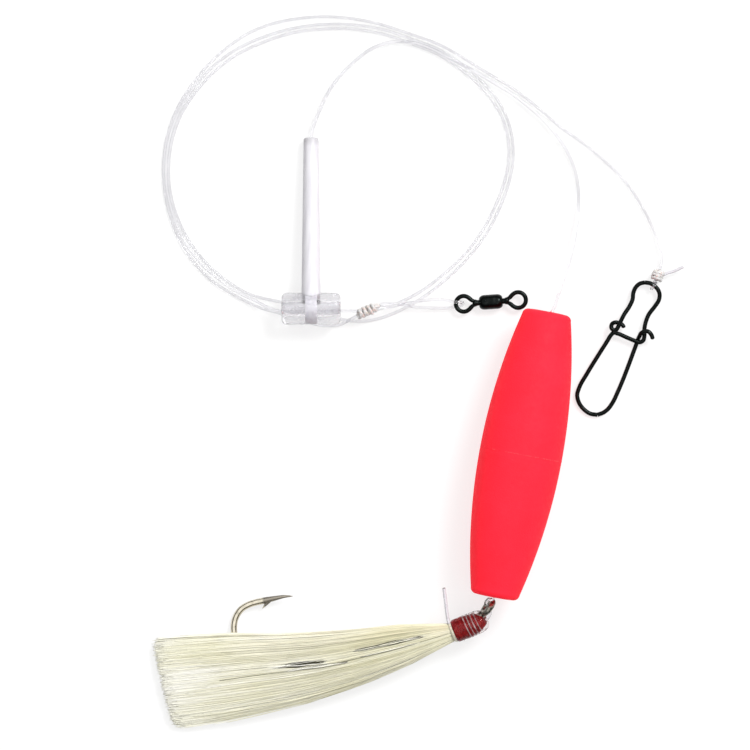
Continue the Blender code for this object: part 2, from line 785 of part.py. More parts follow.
def hook_point(plan):
    """Lift a point of the hook's outline on to the hook's sloping plane."""
    plan = Vector(plan)
    along = (plan - HOOK_BEND).dot(HOOK_ALONG)
    return Vector((*plan, HOOK_BEND_HEIGHT + HOOK_RISE * along))


def hook_path(count):
    return smooth_route([hook_point(plan) for plan in HOOK_PLAN], count)


def shank_cutter(finish):
    """The hook's wire made fatter, to clear it out of what is bound on to it."""
    path = smooth_route([hook_point(plan) for plan in HOOK_PLAN[6:]], 44)
    shank = swept(path, [HOOK_WIRE / 2 + GAP] * 44, 12)
    return mesh_object("shank_cutter", shank, HOOK_EYE, finish)


def eye_ring(radius, sides):
    """The hook's ring eye, with the given wire radius."""
    ring = []
    for k in range(24):
        angle = 2 * math.pi * k / 24
        ring.append(eye_point(HOOK_EYE_RADIUS * math.cos(angle), 0.0, HOOK_EYE_RADIUS * math.sin(angle)))
    return swept(ring, [radius] * 24, sides, closed=True)


def build_hook(finish):
    count = 66
    path = hook_path(count)
    blade = (hook_point(HOOK_PLAN[BLADE_POINTS - 1]) - path[0]).length
    radii = []
    for point in path:
        share = min((point - path[0]).length / blade, 1.0)
        radii.append(HOOK_WIRE / 2 * max(share**0.6, 0.07))
    hook = mesh_object("hook", swept(path, radii, 12), HOOK_EYE, finish)
    root, tip = hook_point(BARB_ROOT), hook_point(BARB_TIP)
    barb = [root.lerp(tip, share) for share in (0.0, 0.5, 1.0)]
    boolean(hook, mesh_object("barb_guide", swept(barb, [0.5, 0.32, 0.08], 8), HOOK_EYE, finish), "UNION")
    eye = eye_ring(HOOK_WIRE / 2, 10)
    boolean(hook, mesh_object("hook_eye_guide", eye, HOOK_EYE, finish), "UNION")


def build_bucktail(hair, cutter):
    """A plain closed solid of the hair's outline, with the hook's channel left open."""
    bm = bmesh.new()
    sides = 14
    rings = []
    for near, far, height, thickness in HAIR_STATIONS:
        near, far = Vector((*near, height)), Vector((*far, height))
        middle, half = (near + far) / 2, (near - far) / 2
        ring = []
        for k in range(sides):
            angle = 2 * math.pi * k / sides
            rise = Vector((0, 0, thickness * math.sin(angle)))
            ring.append(bm.verts.new(middle + half * math.cos(angle) + rise))
        rings.append(ring)
    for a, b in zip(rings, rings[1:]):
        for k in range(sides):
            m = (k + 1) % sides
            bm.faces.new((a[k], a[m], b[m], b[k]))
    bm.faces.new(rings[0])
    bm.faces.new(rings[-1])
    tail = mesh_object("bucktail", bm, HOOK_EYE, hair)
    boolean(tail, cutter, "DIFFERENCE")


def thread_radius(along):
    """How thick the thread winding is, from the collar at 0 to the front."""
    stations = [(0.0, 2.5), (0.6, 2.85), (2.2, 2.85), (3.1, 1.9), (6.9, 1.75), (7.7, 1.5)]
    for (a, near), (b, far) in zip(stations, stations[1:]):
        if along <= b:
            return near + (far - near) * (along - a) / (b - a)
    return stations[-1][1]


def build_head(thread, clear, cement, cutter):
    axis = HEAD_END - HEAD_START
    front = 7.7
    start = HEAD_START + axis.normalized() * GAP
    profile = [(0.0, 0.0)]
    profile += [(thread_radius(along), along) for along in (0.0, 0.6, 2.2, 3.1, 6.9, front)]
    profile += [(0.0, front)]
    winding = mesh_object("head_thread", turned(profile, 24, start, axis), HOOK_EYE, thread)
    boolean(winding, cutter, "DIFFERENCE")

    turns, pitch, first = 4.2, 0.93, 3.7
    side = axis.normalized().cross(Vector((0, 0, 1))).normalized()
    other = axis.normalized().cross(side)
    coil = []
    for k in range(44):
        turn = turns * k / 43
        along = first + pitch * turn
        radius = thread_radius(along) + 0.2 + WRAP_DIAMETER / 2
        angle = 2 * math.pi * turn
        spoke = side * math.cos(angle) + other * math.sin(angle)
        coil.append(start + axis.normalized() * along + spoke * radius)
    wraps = swept(coil, [WRAP_DIAMETER / 2] * len(coil), 8)
    mesh_object("snell_wraps", wraps, HOOK_EYE, clear)

    coat_profile = [
        (0.0, 0.1),
        (3.1, 0.1),
        (3.25, 0.9),
        (3.35, 2.4),
        (3.5, 3.2),
        (3.5, 6.0),
        (3.3, 8.2),
        (2.3, 8.9),
        (1.2, 9.3),
        (0.0, 9.4),
    ]
    hollow_profile = [
        (0.0, -1.0),
        (2.97, -1.0),
        (2.97, 2.4),
        (3.15, 3.0),
        (3.15, 6.0),
        (3.0, 8.1),
        (0.0, 8.3),
    ]
    coat = mesh_object("head_cement", turned(coat_profile, 24, start, axis), HOOK_EYE, cement)
    hollow = mesh_object("cement_cutter", turned(hollow_profile, 24, start, axis), HOOK_EYE, cement)
    boolean(coat, hollow, "DIFFERENCE")
    boolean(coat, cutter, "DIFFERENCE")
    eye = eye_ring(HOOK_WIRE / 2 + GAP, 10)
    boolean(coat, mesh_object("cement_eye_cutter", eye, HOOK_EYE, cement), "DIFFERENCE")

    snell = [
        eye_point(0.0, 0.25, 0.0),
        eye_point(-0.15, 0.7, -0.05),
        eye_point(-0.7, 1.3, -0.1),
        eye_point(-1.5, 1.62, -0.2),
    ]
    line("snell_line", snell, 8, BRANCH_DIAMETER, HOOK_EYE, clear)
    tag = [(10.72, -47.7, 7.0), (10.2, -43.8, 7.3), (9.7, -39.7, 7.5)]
    line("snell_tag", tag, 5, BRANCH_DIAMETER, HOOK_EYE, clear)


def build():
    for old in list(bpy.data.objects):
        bpy.data.objects.remove(old)
    foam = material("float_foam", (0.95, 0.06, 0.07), 0.55)
    clear = material("clear_line", (0.86, 0.85, 0.88), 0.15, alpha=0.5)
    tee = material("tee_plastic", (0.85, 0.84, 0.88), 0.12, alpha=0.5)
    black = material("black_nickel", (0.03, 0.033, 0.035), 0.22, metallic=0.9)
    nickel = material("hook_nickel", (0.75, 0.72, 0.66), 0.18, metallic=1.0)
    hair = material("bucktail_hair", (0.86, 0.83, 0.68), 0.6)
    thread = material("red_thread", (0.35, 0.02, 0.03), 0.5)
    cement = material("head_cement", (0.85, 0.8, 0.78), 0.08, alpha=0.35)

    build_float(foam)
    build_tee(tee)
    build_branch_line(clear)
    build_main_line(clear)
    build_snap_knot(clear)
    build_swivel(black)
    build_snap(black)
    build_hook(nickel)
    cutter = shank_cutter(nickel)
    build_bucktail(hair, cutter)
    build_head(thread, clear, cement, cutter)


build()
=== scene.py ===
"""Looks of the bobber float rig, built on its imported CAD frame.

Sizes and places are in millimetres, as in the part's own source, and become metres where a piece is made.
"""

import math
import random

import bmesh
import bpy
import numpy as np
from mathutils import Matrix, Vector, noise


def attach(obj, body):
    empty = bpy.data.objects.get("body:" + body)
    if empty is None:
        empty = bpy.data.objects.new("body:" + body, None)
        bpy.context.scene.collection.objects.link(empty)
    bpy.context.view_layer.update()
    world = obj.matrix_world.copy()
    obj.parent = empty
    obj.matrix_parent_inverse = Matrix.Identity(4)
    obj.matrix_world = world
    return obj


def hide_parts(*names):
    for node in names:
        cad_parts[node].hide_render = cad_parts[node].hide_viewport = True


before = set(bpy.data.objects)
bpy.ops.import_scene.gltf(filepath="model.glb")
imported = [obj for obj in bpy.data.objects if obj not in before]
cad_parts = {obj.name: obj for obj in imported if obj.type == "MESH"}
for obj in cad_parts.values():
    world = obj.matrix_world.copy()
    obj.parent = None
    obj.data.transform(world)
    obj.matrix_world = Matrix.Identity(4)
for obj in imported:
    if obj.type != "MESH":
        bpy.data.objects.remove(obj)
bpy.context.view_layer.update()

MM = 0.001

# Driving dimensions, the same as the part's.
FLOAT_LENGTH = 76.2
FLOAT_DIAMETER = 21.72
FLOAT_SIDE_ARC = 154.4
FLOAT_BORE = 4.0
MOULD_LINE_HEIGHT = 0.12
LINE_DIAMETER = 0.8
BRANCH_DIAMETER = 0.9
SNAP_WIRE = 1.06
SNAP_PLATED_WIRE = 1.15
SWIVEL_WIRE = 1.16
SWIVEL_EYE_RADIUS = 2.05
SWIVEL_LENGTH = 14.34
BARREL_LENGTH = 6.2
BARREL_DIAMETER = 3.9
NECK_RADIUS = 0.75
HOOK_WIRE = 1.6
HOOK_PLATED_WIRE = 1.72
HOOK_EYE_RADIUS = 1.95
WRAP_CREST = 0.3
TEE_CROSS_DIAMETER = 8.4
TEE_CROSS_LENGTH = 15.5
TEE_CROSS_BORE = 3.2
TEE_STEM_LENGTH = 45.0
TEE_STEM_BORE = 1.6
TEE_TILT = math.radians(4.4)

# Places on the table, before the shift that centres the tackle on the origin.
RIG_SHIFT = Vector((-0.06, -0.745, 0.0))
FLOAT_CENTRE = Vector((29.8, -4.5, FLOAT_DIAMETER / 2 + MOULD_LINE_HEIGHT))
FLOAT_AXIS = Vector((0.18466, 0.9828, 0.0)).normalized()
TEE_CENTRE = Vector((-25.2, 33.7, TEE_CROSS_DIAMETER / 2 + 1.25))
SWIVEL_LEFT = Vector((14.9, 35.0, BARREL_DIAMETER / 2 + 0.03))
SWIVEL_AXIS = Vector((14.3, 1.0, 0.0)).normalized()
SNAP_HEIGHT = 1.76
KNOT_ON_WIRE = Vector((64.9, 39.8, SNAP_HEIGHT))
WIRE_AT_KNOT = Vector((0.81, -0.585, 0.0)).normalized()
LOOP_KNOT_START = Vector((-12.8, 33.05, 4.3))
LOOP_KNOT_END = Vector((-7.6, 34.55, 3.5))
HOOK_EYE = Vector((21.2, -44.7, 6.9))
HOOK_EYE_UP = Vector((0.607, 0.794, 0.0)).normalized()
EYE_TWIST = 0.24
HEAD_START = Vector((12.0, -51.2, 6.0))
HEAD_END = Vector((20.8, -47.6, 6.85))

# The camera looks straight down from high above, so that the view is nearly parallel.
VIEW_CENTRE = Vector((-8.4, 16.3, 0.0))
VIEW_WIDTH = 197.25
CAMERA_HEIGHT = 2600.0
SENSOR = 36.0

# The light and the table, in metres: a softbox at the upper right, a white ceiling, and a table that glows.
SOFTBOX_PLACE = Vector((0.60, 0.66, 0.95))
SOFTBOX_SIZE = 0.45
SOFTBOX_POWER = 14.0
CEILING_TOWARDS = (0.04, 0.24, 0.97)
CEILING_LEVELS = [(0.0, 0.08), (0.58, 0.10), (0.74, 0.97), (1.0, 1.0)]
CEILING_STRENGTH = 1.45
TABLE_HALF_WIDTH = 1.5
TABLE_DROP = 0.00002
TABLE_GLOW = 0.715

LINE_FLOOR = LINE_DIAMETER / 2 + 0.03
BRANCH_FLOOR = BRANCH_DIAMETER / 2 + 0.03
ON_LINES = 1.25
OVER_LINES = 1.42


def at_height(height, *plan):
    """Points of a route that lie at one height."""
    return [(x, y, height) for x, y in plan]


# The main line: out of the loop knot, through the tee and up on to the two turns below it.
LEAD_ROUTE = [
    (-13.15, 33.05, 4.7), (-17.5, 33.1, 4.75), (-25.2, 33.1, 4.75), (-33.0, 33.1, 4.75), (-36.2, 34.0, 4.0),
    (-39.5, 35.6, 2.6), (-43.5, 37.5, 1.55), (-48.4, 40.6, ON_LINES),
]
# Two loose turns, each up the left side, over the top, down the right side and under the tee.
FIRST_TURN_ROUTE = [
    *at_height(ON_LINES,
        (-48.65, 40.8), (-54.0, 45.4), (-58.6, 51.7), (-61.7, 59.0), (-63.1, 65.4), (-63.3, 72.1),
        (-62.4, 78.5), (-60.0, 85.3)),
    (-56.1, 91.7, 1.1), (-51.1, 97.3, 0.75),
    *at_height(LINE_FLOOR,
        (-45.1, 101.8), (-38.2, 105.0), (-30.2, 107.4), (-21.8, 108.5), (-13.2, 108.3), (-5.0, 106.8),
        (1.8, 104.4), (8.7, 101.7), (13.6, 98.6), (18.2, 94.9), (22.8, 90.0), (26.1, 84.3), (27.7, 78.4),
        (27.9, 72.5), (26.7, 66.5), (24.3, 60.0), (20.6, 53.0), (15.8, 46.8), (10.2, 41.4), (4.0, 36.6),
        (-2.6, 32.9), (-7.6, 31.1), (-12.4, 30.4), (-16.0, 30.7), (-19.9, 31.8), (-26.0, 33.9), (-33.4, 35.5)),
]
SECOND_TURN_ROUTE = [
    *at_height(LINE_FLOOR,
        (-33.7, 35.55), (-41.8, 37.7), (-47.0, 40.8), (-52.6, 45.5), (-57.4, 51.7), (-60.8, 58.9),
        (-62.4, 65.4), (-62.6, 72.0), (-61.7, 78.3), (-59.4, 84.7), (-55.5, 90.8), (-50.5, 96.2),
        (-44.6, 100.6), (-37.8, 103.8), (-30.0, 106.3), (-21.8, 107.3), (-13.4, 107.2), (-5.4, 105.7),
        (1.4, 103.3), (8.2, 100.6), (12.9, 97.6), (17.4, 94.0), (21.9, 89.2), (25.1, 83.7), (26.6, 78.2),
        (26.8, 72.7), (25.6, 66.9), (23.2, 60.6), (19.6, 53.8), (14.9, 47.7), (9.3, 42.5), (2.8, 37.8),
        (-4.0, 34.6)),
    (-9.3, 33.1, 0.9), (-12.9, 31.9, ON_LINES + 0.15), (-15.4, 30.6, ON_LINES + 0.15), (-17.8, 29.5, 0.75),
    *at_height(LINE_FLOOR,
        (-20.8, 29.2), (-24.4, 29.7), (-28.1, 30.8), (-33.4, 32.5), (-38.4, 33.9), (-43.2, 36.1),
        (-48.9, 39.4)),
]
# The last half turn and the tail, out to the snap.
TAIL_ROUTE = [
    *at_height(LINE_FLOOR,
        (-49.15, 39.55), (-54.8, 44.5), (-59.4, 51.2), (-62.5, 58.9), (-63.8, 65.3), (-64.0, 72.1),
        (-63.1, 78.6), (-60.8, 85.5), (-56.8, 92.2), (-51.9, 98.2), (-46.2, 103.2), (-41.6, 106.2),
        (-36.0, 108.5), (-30.2, 109.8), (-22.9, 110.5), (-16.0, 110.2), (-8.5, 108.9), (0.2, 106.2),
        (9.1, 102.9), (14.3, 100.0), (19.0, 97.0), (23.7, 94.2), (28.5, 91.2), (32.8, 87.9), (36.6, 84.7),
        (40.4, 81.4), (46.3, 77.3), (52.3, 72.3), (57.5, 67.0), (61.3, 61.5)),
    (64.3, 55.6, 0.6), (66.3, 50.0, 1.1), (66.95, 46.6, 1.65), (66.55, 44.1, 1.86),
]
# The doubled line from the loop knot: over the eye's wire, down through the eye and back under it.
LOOP_ROUTE = [
    (-7.1, 34.35, 4.0), (-5.0, 34.15, 3.55), (-1.1, 34.9, 3.15), (2.2, 35.5, 3.05), (7.1, 36.1, 3.05),
    (10.6, 35.9, 3.2), (12.9, 35.42, 3.33), (14.1, 35.4, 3.0), (14.75, 35.2, 2.1), (14.2, 34.5, 1.15),
    (13.0, 34.3, 0.87), (10.6, 33.9, 0.95), (7.1, 33.9, 1.3), (2.2, 34.2, 1.7), (-1.1, 34.7, 2.05),
    (-5.0, 35.0, 2.5), (-7.1, 34.9, 2.85),
]
# The branch line: off the end of the stem, up over the turns, then down and up into the float.
BRANCH_ROUTE = [
    (-25.15, 78.95, 2.05), (-24.6, 81.4, 1.75), (-22.8, 86.2, 1.1), (-20.4, 91.1, 0.6),
    (-17.0, 95.6, BRANCH_FLOOR), (-13.2, 99.3, BRANCH_FLOOR), (-8.9, 102.3, 0.9),
    *at_height(OVER_LINES,
        (-4.7, 103.7), (1.0, 103.8), (5.8, 102.3), (12.0, 99.2), (18.1, 95.9), (22.9, 93.1), (27.8, 90.1),
        (32.0, 86.8), (35.6, 83.6)),
    (39.1, 79.5, 1.35), (42.4, 74.4, 1.0), (44.4, 69.0, 0.7), (45.1, 64.2, 0.65), (45.0, 59.6, 1.1),
    (44.5, 55.0, 2.2), (43.7, 50.4, 4.0), (42.5, 45.8, 6.2), (41.1, 41.4, 8.2), (39.6, 37.2, 9.5),
    (38.3, 33.4, 9.95),
]
# Inside the float's bore, off to one side of its axis, as (along the axis, sideways, up) offsets.
BORE_ROUTE = [
    (37.9, 1.0, -0.85), (34.0, 0.9, -0.95), (0.0, 0.4, -1.1), (-32.0, 0.0, -1.15), (-36.4, -0.2, -1.15),
    (-38.8, -0.5, -1.25),
]
# Into the hook's ring and out of it again, as offsets from the ring's centre: see eye_point.
EYE_ROUTE = [(1.9, -1.2, 1.9), (1.4, -1.3, 1.1), (0.8, -1.25, 0.4), (0.25, -0.9, 0.1), (0.0, -0.25, 0.0)]
SNELL_ROUTE = [(0.0, 0.25, 0.0), (-0.15, 0.7, -0.05), (-0.7, 1.3, -0.1), (-1.8, 1.62, -0.2), (-3.2, 1.5, -0.3)]

# One wire for the snap: crossbar in the middle, a loop each way, and a free hook at each end.
SNAP_FRAME_ROUTE = [
    (49.9, 5.85, 0.57), (48.3, 6.1, 0.58), (46.6, 7.2, 0.62), (45.2, 9.1, 0.72), (44.75, 11.0, 0.82),
    (45.3, 13.0, 0.94), (47.3, 16.6, 1.15), (50.8, 22.3, 1.5), (52.7, 25.3, 1.7),
    *at_height(SNAP_HEIGHT,
        (53.6, 26.75), (54.3, 27.4), (55.3, 27.2), (57.7, 26.2), (60.15, 25.2), (61.3, 24.9), (62.1, 25.4),
        (62.4, 26.5), (62.4, 28.4), (62.7, 30.0), (63.5, 32.1), (65.2, 34.4), (66.2, 36.0), (66.4, 37.5),
        (65.95, 38.75), (64.9, 39.8), (63.9, 40.4), (62.7, 40.6)),
]
LOWER_GATE_ROUTE = [
    *at_height(0.57,
        (50.25, 5.9), (51.6, 6.4), (52.8, 7.3), (54.0, 8.9), (55.5, 12.0), (56.9, 15.3), (58.4, 19.2),
        (59.65, 22.6), (60.45, 24.8)),
    (60.75, 25.7, 0.8), (61.1, 26.5, 1.75), (61.55, 27.3, 2.7), (62.45, 27.8, 3.05), (63.4, 27.7, 3.05),
    (64.05, 27.1, 3.0), (64.4, 26.4, 2.95), (64.6, 25.6, 2.95),
]
UPPER_GATE_ROUTE = [
    *at_height(SNAP_HEIGHT,
        (62.35, 40.6), (61.2, 40.3), (60.1, 39.3), (59.5, 37.9)),
    (59.3, 36.2, 1.85), (58.5, 34.4, 2.2), (57.0, 32.1, 2.75),
    *at_height(3.0,
        (56.1, 30.3), (55.45, 28.9), (54.95, 28.2), (54.3, 28.1)),
    (53.8, 28.5, 2.95), (53.7, 29.25, 2.6), (54.1, 29.9, 2.1), (54.85, 30.12, 1.76),
    *at_height(1.7,
        (55.7, 29.95), (56.4, 29.65), (56.85, 29.15), (57.0, 28.6)),
]
# The hook lies in a plane that rises from its bend to its eye.
HOOK_BEND = Vector((-45.5, -55.0))
HOOK_ALONG = Vector((0.9763, 0.2164))
HOOK_BEND_HEIGHT = 1.1
HOOK_RISE = 0.086
HOOK_PLAN = [
    (-29.9, -41.8), (-32.2, -41.9), (-34.8, -42.4), (-37.9, -43.05), (-39.9, -43.5), (-41.9, -44.2),
    (-43.6, -45.3), (-44.7, -46.8), (-45.3, -48.4), (-45.5, -50.4), (-45.2, -52.7), (-44.2, -55.3),
    (-42.2, -57.9), (-39.4, -59.9), (-35.5, -61.0), (-29.2, -60.5), (-16.6, -57.8), (-1.8, -54.4), (8.0, -52.0),
    (13.0, -50.7), (16.6, -49.1), (18.6, -47.6), (20.0, -46.2),
]
BARB_ROOT = Vector((-36.3, -43.0))
BARB_TIP = Vector((-38.0, -45.1))
BLADE_POINTS = 4

# The hair's outline: along each station its near edge, far edge, middle height and half thickness.
HAIR_STATIONS = [
    ((10.9, -48.9), (12.8, -53.4), 5.95, 2.3),
    ((-1.8, -49.1), (0.5, -60.0), 5.3, 3.2),
    ((-14.5, -50.4), (-11.5, -65.0), 4.5, 3.6),
    ((-29.5, -51.4), (-26.0, -69.7), 3.75, 3.45),
    ((-44.5, -51.5), (-41.0, -73.0), 2.9, 2.7),
    ((-56.0, -52.1), (-52.0, -75.1), 2.1, 1.9),
    ((-67.8, -53.0), (-62.2, -76.5), 1.35, 1.15),
]


def vectors(points):
    return [Vector(p) for p in points]


def place(point):
    """A point on the table, in metres in the row's frame."""
    return (Vector(point) + RIG_SHIFT) * MM


def smooth_route(points, count):
    """Evenly spaced points on a smooth curve through the given ones."""
    knots = vectors(points)
    tangents = []
    for i, here in enumerate(knots):
        before = knots[max(i - 1, 0)]
        after = knots[min(i + 1, len(knots) - 1)]
        back, ahead = (here - before).length, (after - here).length
        if back == 0 or ahead == 0:
            tangents.append((after - before).normalized())
            continue
        slope = (here - before) * (ahead / back) + (after - here) * (back / ahead)
        tangents.append(slope / (back + ahead))
    fine = [knots[0]]
    for i in range(len(knots) - 1):
        a, b = knots[i], knots[i + 1]
        reach = (b - a).length / 3
        for step in range(1, 25):
            t = step / 24
            u = 1 - t
            leaving, arriving = a + tangents[i] * reach, b - tangents[i + 1] * reach
            point = a * u**3 + leaving * (3 * u * u * t) + arriving * (3 * u * t * t) + b * t**3
            point.z = min(max(point.z, min(a.z, b.z)), max(a.z, b.z))
            fine.append(point)
    return spread(fine, count)


def spread(points, count):
    """The given number of points, evenly spaced along a line of many."""
    lengths = [0.0]
    for a, b in zip(points, points[1:]):
        lengths.append(lengths[-1] + (b - a).length)
    spaced, at = [], 0
    for k in range(count):
        target = lengths[-1] * k / (count - 1)
        while at < len(points) - 2 and lengths[at + 1] < target:
            at += 1
        share = (target - lengths[at]) / (lengths[at + 1] - lengths[at])
        spaced.append(points[at].lerp(points[at + 1], min(max(share, 0.0), 1.0)))
    return spaced


def added(name, data):
    made = bpy.data.objects.new(name, data)
    bpy.context.scene.collection.objects.link(made)
    return made


def mesh_of(name, bm):
    mesh = bpy.data.meshes.new(name)
    bm.to_mesh(mesh)
    bm.free()
    return mesh


def square_to(axis):
    """Two directions square to an axis and to each other."""
    side = axis.cross(Vector((0, 0, 1))).normalized()
    return side, axis.cross(side)


def spoke(side, other, angle):
    return side * math.cos(angle) + other * math.sin(angle)


def round_noise(angle, scale, height):
    """Noise that meets itself after a full turn about a shape."""
    return noise.noise(Vector((math.cos(angle) * scale, math.sin(angle) * scale, height)))


def mirrored(profile):
    return [(radius, -along) for radius, along in reversed(profile)]


def route_length(points):
    return sum((b - a).length for a, b in zip(points, points[1:]))


def rounded_radii(path, radius, start=True, end=True):
    """A wire's radius at each point of its path, falling to a rounded tip at the ends asked for."""
    whole = route_length(path)
    radii, along = [], 0.0
    for i, point in enumerate(path):
        if i:
            along += (point - path[i - 1]).length
        share = 1.0
        if start:
            share = min(share, along / (radius * 0.7))
        if end:
            share = min(share, (whole - along) / (radius * 0.7))
        radii.append(radius * max(math.sqrt(1 - (1 - share) ** 2), 0.12))
    return radii


def join_rings(bm, a, b):
    """Add the band of quads between two rings of as many points."""
    for k in range(len(a)):
        m = (k + 1) % len(a)
        bm.faces.new((a[k], a[m], b[m], b[k]))


def sweep_into(bm, path, radii, sides, closed=False, squeeze=None):
    """Add a round wire along a path to a bmesh; squeeze flattens it about its second axis at each point."""
    count = len(path)
    rings = []
    side = None
    for i, here in enumerate(path):
        before = path[i - 1] if closed or i > 0 else here
        after = path[(i + 1) % count] if closed or i < count - 1 else here
        along = (after - before).normalized()
        if side is None:
            side = along.cross(Vector((0, 0, 1)))
            side = side.normalized() if side.length > 0.01 else along.orthogonal().normalized()
        side = (side - along * side.dot(along)).normalized()
        other = along.cross(side)
        flat = squeeze[i] if squeeze else 1.0
        ring = []
        for k in range(sides):
            angle = 2 * math.pi * k / sides
            arm = side * math.cos(angle) + other * (math.sin(angle) * flat)
            ring.append(bm.verts.new(here + arm * radii[i]))
        rings.append(ring)
    last = count if closed else count - 1
    for i in range(last):
        join_rings(bm, rings[i], rings[(i + 1) % count])
    if not closed:
        bm.faces.new(rings[0])
        bm.faces.new(rings[-1])


def turned_into(bm, profile, steps, start, axis, ripple=None, closed=False):
    """Add a (radius, along) profile spun about an axis; ripple(angle, along) scales the radius."""
    axis = Vector(axis).normalized()
    side, other = square_to(axis)
    rings = []
    for radius, along in profile:
        centre = Vector(start) + axis * along
        if radius == 0:
            rings.append([bm.verts.new(centre)])
            continue
        ring = []
        for k in range(steps):
            angle = 2 * math.pi * k / steps
            reach = radius * (ripple(angle, along) if ripple else 1.0)
            ring.append(bm.verts.new(centre + spoke(side, other, angle) * reach))
        rings.append(ring)
    for a, b in zip(rings, rings[1:]):
        if len(a) == len(b):
            join_rings(bm, a, b)
            continue
        for k in range(steps):
            m = (k + 1) % steps
            bm.faces.new((a[0], b[m], b[k]) if len(a) == 1 else (a[k], a[m], b[0]))
    if closed:
        join_rings(bm, rings[-1], rings[0])
    return rings


def piece_from(name, bm, finish, body, stands_for=()):
    """Turn a bmesh in millimetres on the table into a piece that rides on a body."""
    bmesh.ops.recalc_face_normals(bm, faces=bm.faces)
    for vert in bm.verts:
        vert.co = place(vert.co)
    mesh = mesh_of(name, bm)
    mesh.shade_smooth()
    mesh.set_sharp_from_angle(angle=math.radians(50))
    return dress(added(name, mesh), finish, body, stands_for)


def dress(made, finish, body, stands_for):
    made.data.materials.append(finish)
    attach(made, body)
    if stands_for:
        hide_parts(*stands_for)
    return made


def line_piece(name, points, diameter, finish, body, stands_for=()):
    """Fishing line as a bevelled curve through the given points."""
    curve = bpy.data.curves.new(name, "CURVE")
    curve.dimensions = "3D"
    curve.resolution_u = 1
    curve.render_resolution_u = 0
    curve.bevel_depth = diameter / 2 * MM
    curve.bevel_resolution = 5
    curve.use_fill_caps = True
    spline = curve.splines.new("POLY")
    spline.points.add(len(points) - 1)
    for point, where in zip(spline.points, points):
        point.co = (*place(where), 1.0)
    spline.use_smooth = True
    return dress(added(name, curve), finish, body, stands_for)


# Finishes.


def set_stops(ramp, stops):
    elements = ramp.color_ramp.elements
    while len(elements) < len(stops):
        elements.new(0.5)
    for element, (position, colour) in zip(elements, stops):
        element.position = position
        element.color = (*colour, 1.0)


class Finish:
    """A Principled material with short calls for the nodes that drive it. Texture sizes are in millimetres."""

    def __init__(self, name, colour, roughness, **settings):
        self.material = bpy.data.materials.new(name)
        self.material.use_nodes = True
        self.nodes = self.material.node_tree.nodes
        self.links = self.material.node_tree.links
        self.shader = self.nodes["Principled BSDF"]
        self.set("Base Color", (*colour, 1.0))
        self.set("Roughness", roughness)
        for label, value in settings.items():
            self.set(label.replace("_", " "), value)
        self.material.diffuse_color = (*colour, 1.0)
        self.coords = self.nodes.new("ShaderNodeTexCoord").outputs["Object"]

    def feed(self, socket, value):
        if isinstance(value, bpy.types.NodeSocket):
            self.links.new(value, socket)
        else:
            socket.default_value = value

    def set(self, label, value):
        self.feed(self.shader.inputs[label], value)

    def node(self, kind, values, **settings):
        made = self.nodes.new(kind)
        for key, value in settings.items():
            setattr(made, key, value)
        for key, value in values.items():
            self.feed(made.inputs[key], value)
        return made

    def attribute(self, name):
        return self.node("ShaderNodeAttribute", {}, attribute_name=name).outputs["Fac"]

    def near(self, point, inner, outer):
        """1 up to an inner distance from a point on the table, 0 beyond an outer one."""
        ends = {0: self.coords, 1: place(point)}
        gap = self.node("ShaderNodeVectorMath", ends, operation="DISTANCE").outputs["Value"]
        return self.spread_over(gap, 1.0, 0.0, inner * MM, outer * MM)

    def stretched(self, axis, ratio):
        """Coordinates whose features are drawn out along an axis by a ratio."""
        turn = Vector(axis).to_track_quat("X", "Z").inverted().to_euler()
        turned = self.node("ShaderNodeMapping", {"Vector": self.coords, "Rotation": turn})
        scale = {"Vector": turned.outputs[0], "Scale": (1 / ratio, 1.0, 1.0)}
        return self.node("ShaderNodeMapping", scale).outputs[0]

    def noise(self, size, detail, coords=None):
        values = {"Vector": coords or self.coords, "Scale": 1 / (size * MM), "Detail": detail}
        return self.node("ShaderNodeTexNoise", values).outputs["Fac"]

    def cells(self, size):
        return self.node("ShaderNodeTexVoronoi", {"Vector": self.coords, "Scale": 1 / (size * MM)}).outputs[0]

    def ramp(self, factor, stops):
        made = self.node("ShaderNodeValToRGB", {"Fac": factor})
        set_stops(made, stops)
        return made.outputs["Color"]

    def spread_over(self, factor, low, high, start=0.3, stop=0.7):
        """A number that goes from low to high as a factor goes from start to stop."""
        values = {"Value": factor, "From Min": start, "From Max": stop, "To Min": low, "To Max": high}
        return self.node("ShaderNodeMapRange", values).outputs["Result"]

    def sum(self, a, b, weight):
        return self.node("ShaderNodeMath", {0: b, 1: weight, 2: a}, operation="MULTIPLY_ADD").outputs[0]

    def mix(self, factor, a, b, how="MIX"):
        values = {0: factor, 6: a, 7: b}
        return self.node("ShaderNodeMix", values, data_type="RGBA", blend_type=how).outputs[2]

    def mottle(self, factor, *stops):
        self.set("Base Color", self.ramp(factor, stops))

    def scuff(self, size, detail, low, high):
        self.set("Roughness", self.spread_over(self.noise(size, detail), low, high))

    def bump(self, height, depth):
        """Raise the surface by a height from 0 to 1, at a depth in millimetres."""
        values = {"Height": height, "Distance": depth * MM, "Strength": 1.0}
        self.set("Normal", self.node("ShaderNodeBump", values).outputs["Normal"])


